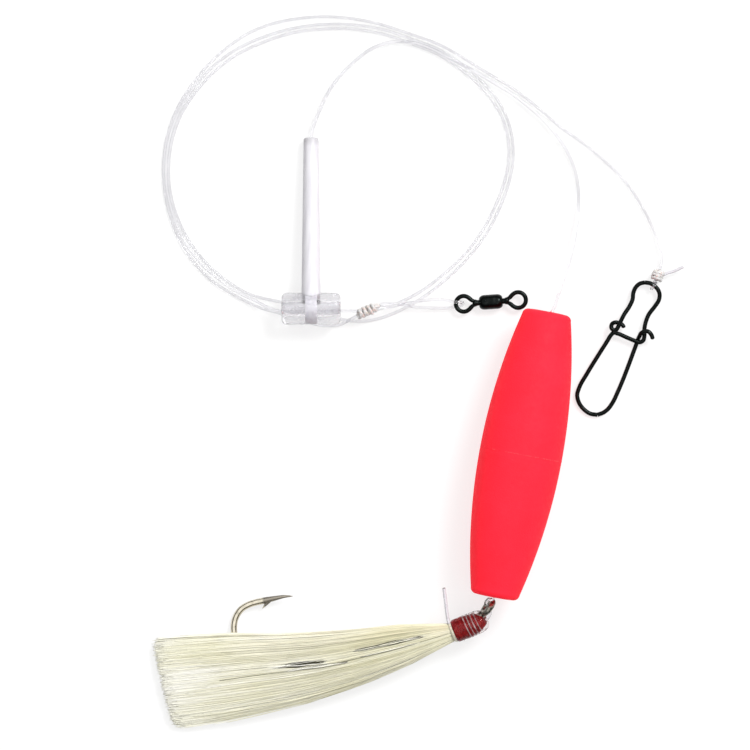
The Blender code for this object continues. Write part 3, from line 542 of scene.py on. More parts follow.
def foam_finish():
    """Moulded foam: fluorescent red, matte, with fine closed cells and a painted red glow for its fluorescence;
    the mould's parting ridge is thin and pale, partly as a painted highlight.
    """
    made = Finish("float_foam", (0.82, 0.012, 0.03), 0.7, Specular_IOR_Level=0.12)
    stops = [(0.3, (0.82, 0.0155, 0.034)), (0.7, (0.86, 0.019, 0.041))]
    red = made.ramp(made.noise(7.0, 4.0), stops)
    # The paler red along the mould line is partly the thin foam's own colour and partly a painted highlight.
    made.set("Base Color", made.mix(made.attribute("flash_and_highlight"), red, (0.88, 0.085, 0.10, 1.0)))
    # The red emission is a painted glow that stands in for the foam's fluorescence.
    made.set("Emission Color", (1.0, 0.012, 0.02, 1.0))
    made.set("Emission Strength", 0.3)
    pits = made.spread_over(made.cells(2.6), 0.0, 1.0, 0.02, 0.1)
    height = made.sum(made.sum(made.cells(0.45), made.noise(0.16, 3.0), 0.7), pits, 1.2)
    made.bump(height, 0.03)
    made.scuff(1.2, 3.0, 0.62, 0.8)
    return made.material


def line_finish():
    """Nylon line: clear with a slight haze, and faint drawing marks along it."""
    made = Finish("clear_line", (0.91, 0.905, 0.93), 0.06, IOR=1.42, Transmission_Weight=0.95)
    made.mottle(made.noise(5.0, 2.0), (0.35, (0.84, 0.835, 0.86)), (0.7, (0.91, 0.905, 0.925)))
    made.scuff(0.7, 3.0, 0.04, 0.12)
    made.bump(made.noise(0.3, 2.0), 0.006)
    return made.material


def cut_line_finish():
    """The short cut ends of line, milkier than the rest, with a lilac tint."""
    made = Finish("cut_line", (0.72, 0.68, 0.75), 0.2, IOR=1.4, Transmission_Weight=0.35)
    made.mottle(made.noise(1.4, 3.0), (0.35, (0.70, 0.68, 0.72)), (0.7, (0.80, 0.78, 0.815)))
    made.scuff(0.7, 3.0, 0.15, 0.3)
    return made.material


def knot_finish():
    """Wrapped nylon, hazier than the line, with peach and straw glints painted into the colour by noise."""
    made = Finish("knotted_line", (0.86, 0.85, 0.84), 0.15, IOR=1.35, Transmission_Weight=0.4)
    # Painted glints: peach and straw patches in the colour.
    peach, straw = (0.36, (0.88, 0.70, 0.64)), (0.68, (0.88, 0.82, 0.68))
    made.mottle(made.noise(0.7, 3.0), peach, (0.46, (0.86, 0.85, 0.845)), (0.58, (0.83, 0.835, 0.84)), straw)
    made.scuff(0.5, 3.0, 0.1, 0.25)
    made.bump(made.noise(0.25, 2.0), 0.012)
    return made.material


def tee_finish():
    """Clear moulded plastic with a faint lilac tint, flow lines and fine scuffs."""
    made = Finish("tee_plastic", (0.90, 0.895, 0.925), 0.1, IOR=1.4, Transmission_Weight=0.95)
    made.mottle(made.noise(4.0, 3.0), (0.3, (0.86, 0.855, 0.88)), (0.7, (0.935, 0.93, 0.95)))
    made.scuff(1.0, 4.0, 0.12, 0.3)
    flow = made.noise(1.3, 2.0, made.stretched((1, 0, 0), 7.0))
    made.bump(made.sum(flow, made.noise(0.3, 2.0), 0.3), 0.05)
    return made.material


def stem_finish(name="tee_stem_plastic", bright=1.0):
    """The stem's plastic is frosted right through: milky white with a breath of lilac, with painted shade in
    grey at its mouth.
    """
    made = Finish(name, (0.65, 0.64, 0.67), 0.4, IOR=1.4)
    along = made.stretched((0, 1, 0), 14.0)
    # A bright above 1 gives a lighter copy of this plastic, painted lighter to make up for the light the clear
    # cross tube keeps off the hub.
    low, high = (tuple(c * bright for c in colour) for colour in ((0.61, 0.595, 0.635), (0.69, 0.68, 0.71)))
    milky = made.ramp(made.noise(0.8, 3.0, along), [(0.35, low), (0.62, high)])
    # Painted shade: grey at the stem's open mouth, where the bore is dark.
    painted_mouth_shade = made.near(tee_place() @ Vector((0, TEE_STEM_LENGTH, 0)), 1.8, 3.0)
    made.set("Base Color", made.mix(painted_mouth_shade, milky, (0.47, 0.46, 0.48, 1.0)))
    made.scuff(1.0, 4.0, 0.3, 0.5)
    made.bump(made.noise(0.7, 2.0, along), 0.01)
    return made.material


def black_finish():
    """Black nickel over drawn wire: near black, satin, with fine drawing lines and light rubs."""
    made = Finish("black_nickel", (0.014, 0.0165, 0.016), 0.22, Metallic=0.85, Specular_IOR_Level=0.2)
    stops = [(0.35, (0.004, 0.0055, 0.005)), (0.6, (0.008, 0.010, 0.0095)), (0.8, (0.022, 0.026, 0.0245))]
    made.mottle(made.noise(1.1, 4.0), *stops)
    made.scuff(0.5, 4.0, 0.16, 0.32)
    made.bump(made.noise(0.18, 3.0), 0.005)
    return made.material


def hook_finish():
    """Warm nickel with drawing lines along the wire, grey where the point is ground and darker near the eye."""
    made = Finish("hook_nickel", (0.62, 0.57, 0.46), 0.16, Metallic=1.0)
    along = made.stretched((*HOOK_ALONG, 0.0), 7.0)
    stops = [(0.3, (0.42, 0.385, 0.30)), (0.5, (0.62, 0.57, 0.46)), (0.8, (0.74, 0.68, 0.56))]
    bright = made.ramp(made.noise(1.3, 4.0), stops)
    # Darker and rougher within a few millimetres of the eye.
    eye_darkening = made.ramp(made.noise(0.8, 4.0), [(0.4, (0.07, 0.07, 0.06)), (0.6, (0.40, 0.39, 0.33))])
    near_eye = made.near(HOOK_EYE, 4.0, 9.0)
    ground = made.ramp(made.noise(0.4, 3.0, along), [(0.35, (0.20, 0.18, 0.15)), (0.65, (0.29, 0.265, 0.22))])
    near_point = made.near(hook_point(HOOK_PLAN[0]), 7.8, 8.3)
    made.set("Base Color", made.mix(near_point, made.mix(near_eye, bright, eye_darkening), ground))
    fine = made.spread_over(made.noise(0.6, 4.0, along), 0.12, 0.24)
    made.set("Roughness", made.sum(made.sum(fine, near_point, 0.25), near_eye, 0.22))
    made.bump(made.noise(0.12, 2.0, along), 0.004)
    return made.material


def hair_finish():
    """Deer tail hair: each hair its own shade, ivory to straw, a few dark hairs, near-black strands that paint
    the shade in its partings, and a soft sheen.
    """
    made = Finish("bucktail_hair", (0.8, 0.77, 0.64), 0.5, Specular_IOR_Level=0.25)
    # The two darkest stops colour the strands that paint the shade in the partings.
    stops = [(0.0, (0.035, 0.033, 0.02)), (0.08, (0.10, 0.095, 0.055)), (0.16, (0.50, 0.48, 0.34))]
    stops += [(0.4, (0.755, 0.73, 0.56)), (0.7, (0.88, 0.86, 0.71)), (1.0, (0.98, 0.97, 0.91))]
    strand = made.ramp(made.attribute("shade"), stops)
    banding = made.noise(9.0, 3.0, made.stretched((1.0, 0.16, 0.0), 4.0))
    tint = made.ramp(banding, [(0.35, (0.93, 0.92, 0.80)), (0.6, (1.0, 0.995, 0.985))])
    made.set("Base Color", made.mix(0.8, strand, tint, "MULTIPLY"))
    made.scuff(0.8, 2.0, 0.42, 0.6)
    return made.material


def thread_finish():
    """Dark red tying thread, waxed, with the turns a little uneven in shade."""
    made = Finish("red_thread", (0.24, 0.010, 0.012), 0.5, Specular_IOR_Level=0.1)
    axis = HEAD_END - HEAD_START
    turns = made.noise(0.22, 2.0, made.stretched(Vector((0, 0, 1)).cross(axis), 9.0))
    made.mottle(turns, (0.32, (0.09, 0.003, 0.004)), (0.5, (0.24, 0.008, 0.010)), (0.72, (0.44, 0.024, 0.024)))
    made.bump(turns, 0.04)
    return made.material


def cement_finish():
    """Clear varnish: glass smooth, with a faint warm tint and a few ripples."""
    made = Finish("head_cement", (0.97, 0.95, 0.95), 0.02, IOR=1.22, Transmission_Weight=1.0)
    made.mottle(made.noise(2.0, 2.0), (0.4, (0.93, 0.87, 0.865)), (0.7, (0.98, 0.96, 0.96)))
    made.scuff(1.4, 3.0, 0.01, 0.05)
    made.bump(made.noise(1.5, 2.0), 0.1)
    return made.material


def wrap_highlight_finish():
    """The crests of the snell's turns, where they stand out of the varnish: milky and pinkish white, a painted
    highlight for the light the clear turns catch.
    """
    made = Finish("snell_wraps_painted_highlight", (0.80, 0.66, 0.66), 0.15, IOR=1.4, Transmission_Weight=0.35)
    stops = [(0.4, (0.50, 0.27, 0.27)), (0.52, (0.76, 0.60, 0.60)), (0.65, (0.88, 0.80, 0.80))]
    made.mottle(made.noise(0.9, 3.0), *stops)
    made.scuff(0.6, 2.0, 0.08, 0.25)
    return made.material


def collar_finish():
    """Trimmed hair butts soaked in varnish: cream and glossy, streaked along the hair."""
    made = Finish("collar_hair", (0.78, 0.72, 0.56), 0.2, Transmission_Weight=0.15, IOR=1.4)
    fine = made.noise(0.25, 3.0, made.stretched(HEAD_END - HEAD_START, 5.0))
    made.mottle(fine, (0.3, (0.62, 0.50, 0.38)), (0.5, (0.78, 0.72, 0.56)), (0.75, (0.88, 0.86, 0.76)))
    made.scuff(0.6, 2.0, 0.12, 0.3)
    made.bump(fine, 0.04)
    return made.material


def burnt_finish():
    """The melted end of a cut line: brown-grey and shiny, darker in patches."""
    made = Finish("melted_end", (0.16, 0.13, 0.12), 0.3)
    made.mottle(made.noise(0.2, 2.0), (0.3, (0.07, 0.055, 0.05)), (0.7, (0.28, 0.24, 0.22)))
    return made.material


def table_finish():
    """A white light table: most of its brightness is its own, so that shadows on it stay faint."""
    made = Finish("white_table", (0.25, 0.25, 0.25), 0.9)
    made.scuff(30.0, 2.0, 0.85, 0.95)
    made.set("Emission Color", (1.0, 1.0, 1.0, 1.0))
    made.set("Emission Strength", TABLE_GLOW)
    return made.material


# Where the dressing parts, seen from above: the ends of each lens and half its width. The near-black strands
# laid along them are painted shade.
HAIR_PARTING_SHADE = [
    ((-38.2, -60.8), (-20.0, -58.6), 0.60),
    ((-33.3, -61.6), (-14.6, -58.8), 0.24),
    ((-15.0, -56.3), (6.0, -51.85), 0.38),
    ((-12.5, -57.7), (4.0, -53.6), 0.10),
]


# Pieces.


def build_camera_and_light():
    camera = bpy.data.cameras.new("camera")
    camera.sensor_width = SENSOR
    camera.lens = SENSOR * CAMERA_HEIGHT / VIEW_WIDTH
    camera.clip_start, camera.clip_end = 0.05, 20.0
    eye = added("camera", camera)
    eye.location = place(VIEW_CENTRE + Vector((0, 0, CAMERA_HEIGHT)))
    bpy.context.scene.camera = eye
    bpy.context.scene.view_settings.view_transform = "Standard"

    key = bpy.data.lights.new("softbox", "AREA")
    key.shape = "SQUARE"
    key.size = SOFTBOX_SIZE
    key.energy = SOFTBOX_POWER
    box = added("softbox", key)
    box.location = SOFTBOX_PLACE
    box.rotation_euler = (-box.location).to_track_quat("-Z", "Y").to_euler()


def build_studio():
    """A wide white ceiling over dim walls: even light from above, with dark sides for metal to reflect."""
    world = bpy.data.worlds.new("studio")
    world.use_nodes = True
    nodes, links = world.node_tree.nodes, world.node_tree.links
    direction = nodes.new("ShaderNodeTexCoord").outputs["Generated"]
    height = nodes.new("ShaderNodeVectorMath")
    height.operation = "DOT_PRODUCT"
    links.new(direction, height.inputs[0])
    height.inputs[1].default_value = CEILING_TOWARDS
    ramp = nodes.new("ShaderNodeValToRGB")
    set_stops(ramp, [(position, (level, level, level)) for position, level in CEILING_LEVELS])
    links.new(height.outputs["Value"], ramp.inputs[0])
    links.new(ramp.outputs["Color"], nodes["Background"].inputs["Color"])
    nodes["Background"].inputs["Strength"].default_value = CEILING_STRENGTH
    bpy.context.scene.world = world


def build_table(finish):
    bm = bmesh.new()
    bmesh.ops.create_grid(bm, x_segments=1, y_segments=1, size=TABLE_HALF_WIDTH)
    table = added("table", mesh_of("table", bm))
    table.data.materials.append(finish)
    table.location = (0, 0, -TABLE_DROP)


def tee_place():
    """From the tee's own axes, cross tube along X and stem along Y, to the table."""
    return Matrix.Translation(TEE_CENTRE) @ Matrix.Rotation(-TEE_TILT, 4, "X")


def float_point(along, sideways, up):
    """A point given along the float's axis, across it on the table, and upwards."""
    across = Vector((FLOAT_AXIS.y, -FLOAT_AXIS.x, 0.0))
    return FLOAT_CENTRE + FLOAT_AXIS * along + across * sideways + Vector((0, 0, up))


def eye_point(up, through, rise):
    """A point about the hook's eye: up its face, through its hole, and upwards."""
    hole = HOOK_EYE_UP.cross(Vector((0, 0, 1)))
    return HOOK_EYE + HOOK_EYE_UP * up + hole * through + Vector((0, 0, rise))


def wrapped_knot(name, start, end, turns, radius, finish, body, stands_for, cores, uneven=0.16):
    """Turns of line wound both ways over the strands of a knot, so that it comes out lumpy."""
    bm = bmesh.new()
    axis = (end - start).normalized()
    length = (end - start).length
    side, other = square_to(axis)
    tube = LINE_DIAMETER / 2
    for hand, phase, tight in ((1, 0.0, 0.0), (-1, 2.1, 0.13)):
        coil = []
        steps = int(turns * 26)
        for k in range(steps + 1):
            share = k / steps
            angle = hand * 2 * math.pi * turns * share + phase
            ends = min(share, 1 - share) * turns
            lump = uneven * noise.noise(Vector((angle * 0.9, radius, phase)))
            reach = radius - tube - tight - 0.22 * (1 - min(ends, 1.0)) + lump
            slip = 1.6 * uneven * noise.noise(Vector((angle * 0.7, phase, 5.0)))
            along = tube + (length - 2 * tube) * share + slip
            coil.append(start + axis * along + spoke(side, other, angle) * reach)
        sweep_into(bm, coil, rounded_radii(coil, tube), 14)
    for strand in cores:
        path = smooth_route(strand, 60)
        sweep_into(bm, path, rounded_radii(path, tube * 0.96), 14)
    return piece_from(name, bm, finish, body, stands_for)


def build_cords(clear, knotted, cut):
    main_path = smooth_route(LEAD_ROUTE + FIRST_TURN_ROUTE + SECOND_TURN_ROUTE[1:] + TAIL_ROUTE, 760)
    replaced = ["main_line_lead", "main_line_first_turn", "main_line_second_turn", "main_line_tail"]
    main_line = line_piece("main_line", main_path, LINE_DIAMETER, clear, "main_line", replaced)

    axis = (LOOP_KNOT_END - LOOP_KNOT_START).normalized()
    lead_in = [LEAD_ROUTE[0], LOOP_KNOT_START + axis * 1.0, LOOP_KNOT_START + axis * 3.0]
    upper_core = vectors(lead_in) + [LOOP_KNOT_END + Vector((0, -0.2, 0.45)), Vector(LOOP_ROUTE[0])]
    lower_core = [LOOP_KNOT_START + Vector((0.6, -0.5, -0.3)), LOOP_KNOT_END + Vector((-1.5, 0.1, -0.4))]
    cores = [upper_core, lower_core + [Vector(LOOP_ROUTE[-1])]]
    knot_start, knot_end = LOOP_KNOT_START + Vector((-0.5, -1.1, 0)), LOOP_KNOT_END + Vector((-0.3, -0.25, 0))
    loop_knot = wrapped_knot(
        "loop_knot_wraps", knot_start, knot_end, 4.2, 1.5, knotted, "main_line", ["loop_knot"], cores
    )

    along = (Vector(TAIL_ROUTE[-1]) - KNOT_ON_WIRE).normalized()
    across = WIRE_AT_KNOT.cross(Vector((0, 0, 1)))
    start, end = KNOT_ON_WIRE + along * 0.85, KNOT_ON_WIRE + along * 4.3
    reach = SNAP_WIRE / 2 + 0.05 + LINE_DIAMETER / 2
    hitch = [start + along * 1.2 + Vector((0, 0, 0.42)), start + Vector((0, 0, 0.5))]
    for k in range(11):
        angle = math.radians(150 - 30 * k)
        lift = Vector((0, 0, math.sin(angle) * reach))
        hitch.append(KNOT_ON_WIRE + across * (math.cos(angle) * reach) + lift)
    hitch += [start + Vector((0, 0, -0.5)), start + along * 1.2 + Vector((0, 0, -0.42))]
    tail_core = [start + along * 0.6, end - along * 0.4, Vector(TAIL_ROUTE[-1])]
    start += along * 0.4
    snap_knot = wrapped_knot(
        "snap_knot_wraps", start, end, 3.1, 1.75, knotted, "main_line", ["snap_knot"], [tail_core], 0.42
    )
    hitch_loop = line_piece("snap_knot_loop", smooth_route(hitch, 90), LINE_DIAMETER, clear, "main_line")
    tag_route = [(67.2, 42.5, 1.9), (67.75, 42.8, 2.0), (70.2, 43.6, 2.2), (72.6, 44.7, 2.4)]
    tag_path = smooth_route(tag_route, 30)
    tag = line_piece("snap_knot_end", tag_path, LINE_DIAMETER, cut, "main_line", ["snap_knot_tag"])

    loop_path = smooth_route(LOOP_ROUTE, 140)
    loop = line_piece("swivel_line_loop", loop_path, LINE_DIAMETER, clear, "main_line", ["swivel_loop"])

    stem = [tee_place() @ Vector((0, along_stem, 0)) for along_stem in (1.6, 24.0, 40.0, TEE_STEM_LENGTH - 0.4)]
    bore = [float_point(*offsets) for offsets in BORE_ROUTE]
    eye_side = [eye_point(*offsets) for offsets in EYE_ROUTE]
    branch_path = smooth_route(stem + vectors(BRANCH_ROUTE) + bore + eye_side, 620)
    replaced = ["branch_line_stem", "branch_line", "branch_line_bore"]
    branch = line_piece("branch_line_whole", branch_path, BRANCH_DIAMETER, clear, "dropper", replaced)
    stop_start = tee_place() @ Vector((0, 0.55, 0))
    stop_end = tee_place() @ Vector((0, 2.45, 0))
    stop_knot = wrapped_knot(
        "stop_knot_wraps", stop_start, stop_end, 2.2, 1.05, knotted, "dropper", ["branch_stop_knot"], []
    )


def float_profile():
    """The cigar's outline: an arc down each side, rounded ends, a bore and a faint mould line."""
    half = FLOAT_LENGTH / 2
    bore = FLOAT_BORE / 2
    corner = 1.7

    def side(along):
        sagitta = FLOAT_SIDE_ARC - math.sqrt(FLOAT_SIDE_ARC**2 - along**2)
        return FLOAT_DIAMETER / 2 - sagitta

    shoulder = side(half - corner)
    upper = [(bore, 4.0), (bore, half - 0.5), (bore + 0.1, half - 0.15), (bore + 0.35, half)]
    for k in range(1, 6):
        share = k / 6
        reach = bore + 0.35 + (shoulder - corner - bore - 0.35) * share
        upper.append((reach, half - 0.12 * share**2))
    for k in range(13):
        angle = math.pi / 2 * (1 - k / 12)
        reach = shoulder - corner + corner * math.cos(angle)
        upper.append((reach, half - 0.12 - (corner - 0.12) * (1 - math.sin(angle))))
    steps = 40
    for k in range(1, steps + 1):
        along = (half - corner) * (1 - k / steps) + 0.5 * k / steps
        upper.append((side(along), along))
    seam = [(FLOAT_DIAMETER / 2, 0.36 - 0.045 * k) for k in range(17)]
    return upper + seam + mirrored(upper)


def build_float(finish):
    """The float, with the mould's parting ridge standing up unevenly round its middle."""

    def flash_and_highlight(angle):
        patch, fine = round_noise(angle, 5, 3.0), round_noise(angle, 30, 8.0)
        # The facing term makes the ridge and its paleness strongest on one side, where the highlight falls:
        # painted highlight.
        facing = 0.5 + 0.5 * math.cos(angle + math.radians(34))
        return min(max(1.2 * facing - 0.72 + patch * 0.9 + fine * 1.5, 0.0), 1.0)

    def ripple(angle, along):
        swell = 1.0 + 0.0012 * round_noise(angle, 1.5, along * 0.08)
        if abs(along) < 0.2:
            swell += MOULD_LINE_HEIGHT / FLOAT_DIAMETER * 2 * flash_and_highlight(angle) * (1 - abs(along) / 0.2)
        if -0.5 < along < 0:
            swell -= 0.0016
        return swell

    bm = bmesh.new()
    layer = bm.verts.layers.float.new("flash_and_highlight")
    profile = float_profile()
    sides = 240
    rings = turned_into(bm, profile, sides, FLOAT_CENTRE, FLOAT_AXIS, ripple, closed=True)
    for (_, along), ring in zip(profile, rings):
        if abs(along) < 0.15:
            for k, vert in enumerate(ring):
                vert[layer] = flash_and_highlight(2 * math.pi * k / sides) * (1 - abs(along) / 0.15)
    piece_from("float_foam_body", bm, finish, "float", ["float_body"])


def tee_solid(name, profile, axis, steps, holes, finish, stands_for):
    """One turned part of the tee with holes cut along its axis and across it."""

    def solid(label, outline, along, sides):
        bm = bmesh.new()
        turned_into(bm, outline, sides, (0, 0, 0), along)
        bmesh.ops.recalc_face_normals(bm, faces=bm.faces)
        for vert in bm.verts:
            vert.co = place(tee_place() @ vert.co)
        return added(label, mesh_of(label, bm))

    body = solid(name, profile, axis, steps)
    tools = [solid(f"{name}_hole_{i}", outline, along, 48) for i, (outline, along) in enumerate(holes)]
    for tool in tools:
        cut = body.modifiers.new(tool.name, "BOOLEAN")
        cut.operation = "DIFFERENCE"
        cut.object = tool
    bpy.context.view_layer.update()
    whole = body.evaluated_get(bpy.context.evaluated_depsgraph_get())
    mesh = bpy.data.meshes.new_from_object(whole)
    body.modifiers.clear()
    body.data = mesh
    for tool in tools:
        bpy.data.objects.remove(tool)
    mesh.shade_smooth()
    mesh.set_sharp_from_angle(angle=math.radians(38))
    dress(body, finish, "dropper", stands_for)


def build_tee(clear, frosted, hub_plastic):
    """The tee: a clear cross tube with a waist under the stem, and a frosted tapered stem let into it."""
    half, radius = TEE_CROSS_LENGTH / 2, TEE_CROSS_DIAMETER / 2
    bore, narrow = TEE_CROSS_BORE / 2, TEE_STEM_BORE / 2
    right = [(0.0, half)]
    for k in range(9):
        angle = math.pi / 2 * k / 8
        right.append((radius - 1.5 + 1.5 * math.sin(angle), half - 1.5 + 1.5 * math.cos(angle)))
    right += [(radius, 4.0), (radius, 2.3), (radius - 0.04, 2.0), (radius - 0.08, 1.7), (radius - 0.08, 0.6)]
    flare = bore + 0.35
    mouth = [(0.0, half + 1), (flare, half + 1), (flare, half - 0.1), (bore, half - 0.7), (bore, 1.0)]
    socket = [(0.0, 0.1), (1.3, 0.1), (1.3, 1.75), (2.56, 1.8), (2.56, half + 1), (0.0, half + 1)]
    holes = [(mouth + mirrored(mouth), (1, 0, 0)), (socket, (0, 1, 0))]
    tee_solid("tee_cross_tube", right + mirrored(right), (1, 0, 0), 80, holes, clear, ["standoff_tee"])

    hub = [(2.05, -1.55), (3.72, -1.55), (3.8, -1.4), (3.8, 1.4), (3.72, 1.55), (2.05, 1.55)]
    bm = bmesh.new()
    turned_into(bm, hub, 80, (0, 0, 0), (1, 0, 0), closed=True)
    bm.transform(tee_place())
    piece_from("tee_hub", bm, hub_plastic, "dropper")

    stem = [(0.0, 1.86), (2.45, 1.86), (2.5, 2.0), (2.5, 4.2)]
    stem += [(2.5 - 0.53 * k / 24, 4.2 + (TEE_STEM_LENGTH - 4.8) * k / 24) for k in range(1, 25)]
    for k in range(1, 6):
        angle = math.pi / 2 * k / 5
        stem.append((1.47 + 0.5 * math.cos(angle), TEE_STEM_LENGTH - 0.6 + 0.6 * math.sin(angle)))
    stem.append((0.0, TEE_STEM_LENGTH))
    chamber = [(0.0, 1.0), (1.3, 1.0), (1.3, 2.7), (narrow, 3.2)]
    chamber += [(narrow, TEE_STEM_LENGTH + 1), (0.0, TEE_STEM_LENGTH + 1)]
    tee_solid("tee_stem_tube", stem, (0, 1, 0), 64, [(chamber, (0, 1, 0))], frosted, [])


def build_swivel(finish):
    """The barrel swivel: two wire eyes with their necks, and the barrel pressed round their heads."""
    right = SWIVEL_LEFT + SWIVEL_AXIS * SWIVEL_LENGTH
    face = (SWIVEL_LENGTH - BARREL_LENGTH) / 2
    eyes = [
        ("swivel_line_eye_wire", SWIVEL_LEFT, SWIVEL_AXIS, "line_eye", "swivel_line_eye"),
        ("swivel_free_eye_wire", right, -SWIVEL_AXIS, "free_eye", "swivel_free_eye"),
    ]
    for name, centre, inward, body, node in eyes:
        beside = Vector((0, 0, 1)).cross(inward)
        route = [centre + inward * 3.1 + beside * 0.42, centre + inward * 2.4 + beside * 0.66]
        for k in range(15):
            angle = math.radians(50 + 260 * k / 14)
            route.append(centre + spoke(inward, beside, angle) * SWIVEL_EYE_RADIUS)
        route += [centre + inward * 2.4 - beside * 0.66, centre + inward * 3.1 - beside * 0.42]
        path = smooth_route(route, 150)
        radii = [SWIVEL_WIRE / 2 - 0.14 * max(0.0, 1 - min(k, 149 - k) / 14) for k in range(150)]
        bm = bmesh.new()
        sweep_into(bm, path, radii, 24)
        neck = [(0.0, 2.3), (0.5, 2.32), (0.78, 2.5), (0.94, 2.8), (0.95, 3.15), (0.86, 3.4)]
        neck += [(NECK_RADIUS, 3.6), (NECK_RADIUS, face - 0.12), (NECK_RADIUS, face + 1.0), (0.0, face + 1.0)]
        turned_into(bm, neck, 40, centre, inward)
        piece_from(name, bm, finish, body, [node])

    half, outer = BARREL_LENGTH / 2, BARREL_DIAMETER / 2
    hole = NECK_RADIUS + 0.08
    side = [(hole, half - 0.6), (hole, half - 0.1), (hole + 0.08, half)]
    for k in range(12):
        angle = math.pi / 2 * k / 11
        side.append((0.95 + (outer - 0.95) * math.sin(angle), half - 1.45 * (1 - math.cos(angle))))
    for k in range(1, 8):
        side.append((outer, (half - 1.45) * (1 - k / 7)))
    side += mirrored(side[:-1])

    def dents(angle, along):
        return 1 + 0.01 * round_noise(angle, 1.4, along * 0.6)

    bm = bmesh.new()
    turned_into(bm, side, 72, (SWIVEL_LEFT + right) / 2, SWIVEL_AXIS, dents)
    piece_from("swivel_barrel_shell", bm, finish, "barrel", ["swivel_barrel"])


def build_snap(finish):
    """The snap's bent wire: its middle and the two arms that hook over it."""
    pieces = [
        ("snap_frame_wire", SNAP_FRAME_ROUTE, 360, "snap", "snap_frame", False),
        ("snap_lower_gate_wire", LOWER_GATE_ROUTE, 220, "lower_gate", "snap_lower_gate", True),
        ("snap_upper_gate_wire", UPPER_GATE_ROUTE, 220, "upper_gate", "snap_upper_gate", True),
    ]
    overlap = 0.2
    for name, route, count, body, node, free_end in pieces:
        path = smooth_route(route, count)
        path.insert(0, path[0] + (path[0] - path[1]).normalized() * overlap)
        if not free_end:
            path.append(path[-1] + (path[-1] - path[-2]).normalized() * overlap)
        bm = bmesh.new()
        sweep_into(bm, path, rounded_radii(path, SNAP_PLATED_WIRE / 2, False, free_end), 24)
        piece_from(name, bm, finish, body, [node])


def hook_point(plan):
    """Lift a point of the hook's outline on to the hook's sloping plane."""
    plan = Vector(plan)
    along = (plan - HOOK_BEND).dot(HOOK_ALONG)
    return Vector((*plan, HOOK_BEND_HEIGHT + HOOK_RISE * along))


def build_hook(finish):
    """The hook: ground point and sliced barb, round bend, and an eye bent from the same wire."""
    count = 420
    path = smooth_route([hook_point(plan) for plan in HOOK_PLAN], count)
    blade = (hook_point(HOOK_PLAN[BLADE_POINTS - 1]) - path[0]).length
    radii, flats = [], []
    for point in path:
        share = min((point - path[0]).length / blade, 1.0)
        radii.append(HOOK_PLATED_WIRE / 2 * max(share**0.62, 0.02))
        flats.append(0.62 + 0.38 * share)
    bm = bmesh.new()
    sweep_into(bm, path, radii, 28, squeeze=flats)
    root, tip = hook_point(BARB_ROOT), hook_point(BARB_TIP)
    barb = [root + (tip - root) * (k / 14) for k in range(15)]
    sweep_into(bm, barb, [0.62 * (1 - k / 14) ** 0.8 + 0.02 for k in range(15)], 14, squeeze=[0.6] * 15)
    ring = []
    for k in range(96):
        angle = 2 * math.pi * k / 96
        rise = HOOK_EYE_RADIUS * math.sin(angle)
        ring.append(eye_point(HOOK_EYE_RADIUS * math.cos(angle), rise * EYE_TWIST, rise))
    sweep_into(bm, ring, [HOOK_WIRE / 2] * 96, 24, closed=True)
    piece_from("hook_wire", bm, finish, "hook", ["hook"])


def hair_stations_at(shares):
    """For each share of the bunch's length: its middle, half its width, and half its thickness."""
    at = np.clip(shares, 0.0, 1.0) * (len(HAIR_STATIONS) - 1)
    knots = np.arange(len(HAIR_STATIONS))
    edges = []
    for edge in (0, 1):
        columns = np.array([(*station[edge], station[2]) for station in HAIR_STATIONS]).T
        edges.append(np.stack([np.interp(at, knots, column) for column in columns], axis=-1))
    thick = np.interp(at, knots, [station[3] for station in HAIR_STATIONS])
    return (edges[0] + edges[1]) / 2, (edges[0] - edges[1]) / 2, thick


def tubes(name, paths, radii, shades, finish):
    """Many thin strands as one mesh: paths is strands by points by three, radii and shades one per point."""
    count, points = paths.shape[:2]
    sides = 3
    along = np.gradient(paths, axis=1)
    along /= np.linalg.norm(along, axis=2, keepdims=True)
    side = np.cross(along, np.array([0.0, 0.0, 1.0]))
    side /= np.linalg.norm(side, axis=2, keepdims=True)
    other = np.cross(along, side)
    angles = 2 * np.pi * np.arange(sides) / sides
    spokes = side[:, :, None] * np.cos(angles)[:, None] + other[:, :, None] * np.sin(angles)[:, None]
    verts = paths[:, :, None] + spokes * radii[:, :, None, None]
    verts = (verts.reshape(-1, 3) + np.array(RIG_SHIFT)) * MM

    ring = np.arange(count * points * sides).reshape(count, points, sides)
    a, b = ring[:, :-1], ring[:, 1:]
    quads = np.stack([a, np.roll(a, -1, axis=2), np.roll(b, -1, axis=2), b], axis=-1).reshape(-1, 4)
    faces = quads.tolist() + ring[:, 0, ::-1].tolist() + ring[:, -1].tolist()
    mesh = bpy.data.meshes.new(name)
    mesh.from_pydata(verts.tolist(), [], faces)
    layer = mesh.attributes.new("shade", "FLOAT", "POINT")
    layer.data.foreach_set("value", np.repeat(shades, sides).astype(np.float32))
    smooth = np.arange(len(faces)) < len(quads)
    mesh.polygons.foreach_set("use_smooth", smooth)
    return dress(added(name, mesh), finish, "hook", [])


def clumps(u, v, share, size):
    """A gentle drift that draws neighbouring hairs into locks, growing towards the tips."""
    phase = np.array([0.0, 1.7, 3.1])
    waves = 0.0
    for k, (across, deep) in enumerate(((9.0, 4.0), (17.0, 7.0), (31.0, 5.0))):
        waves = waves + np.sin(u * across + v * deep + phase[k] + share * (1.5 + k)) / (1 + 0.7 * k)
    return waves * size * share


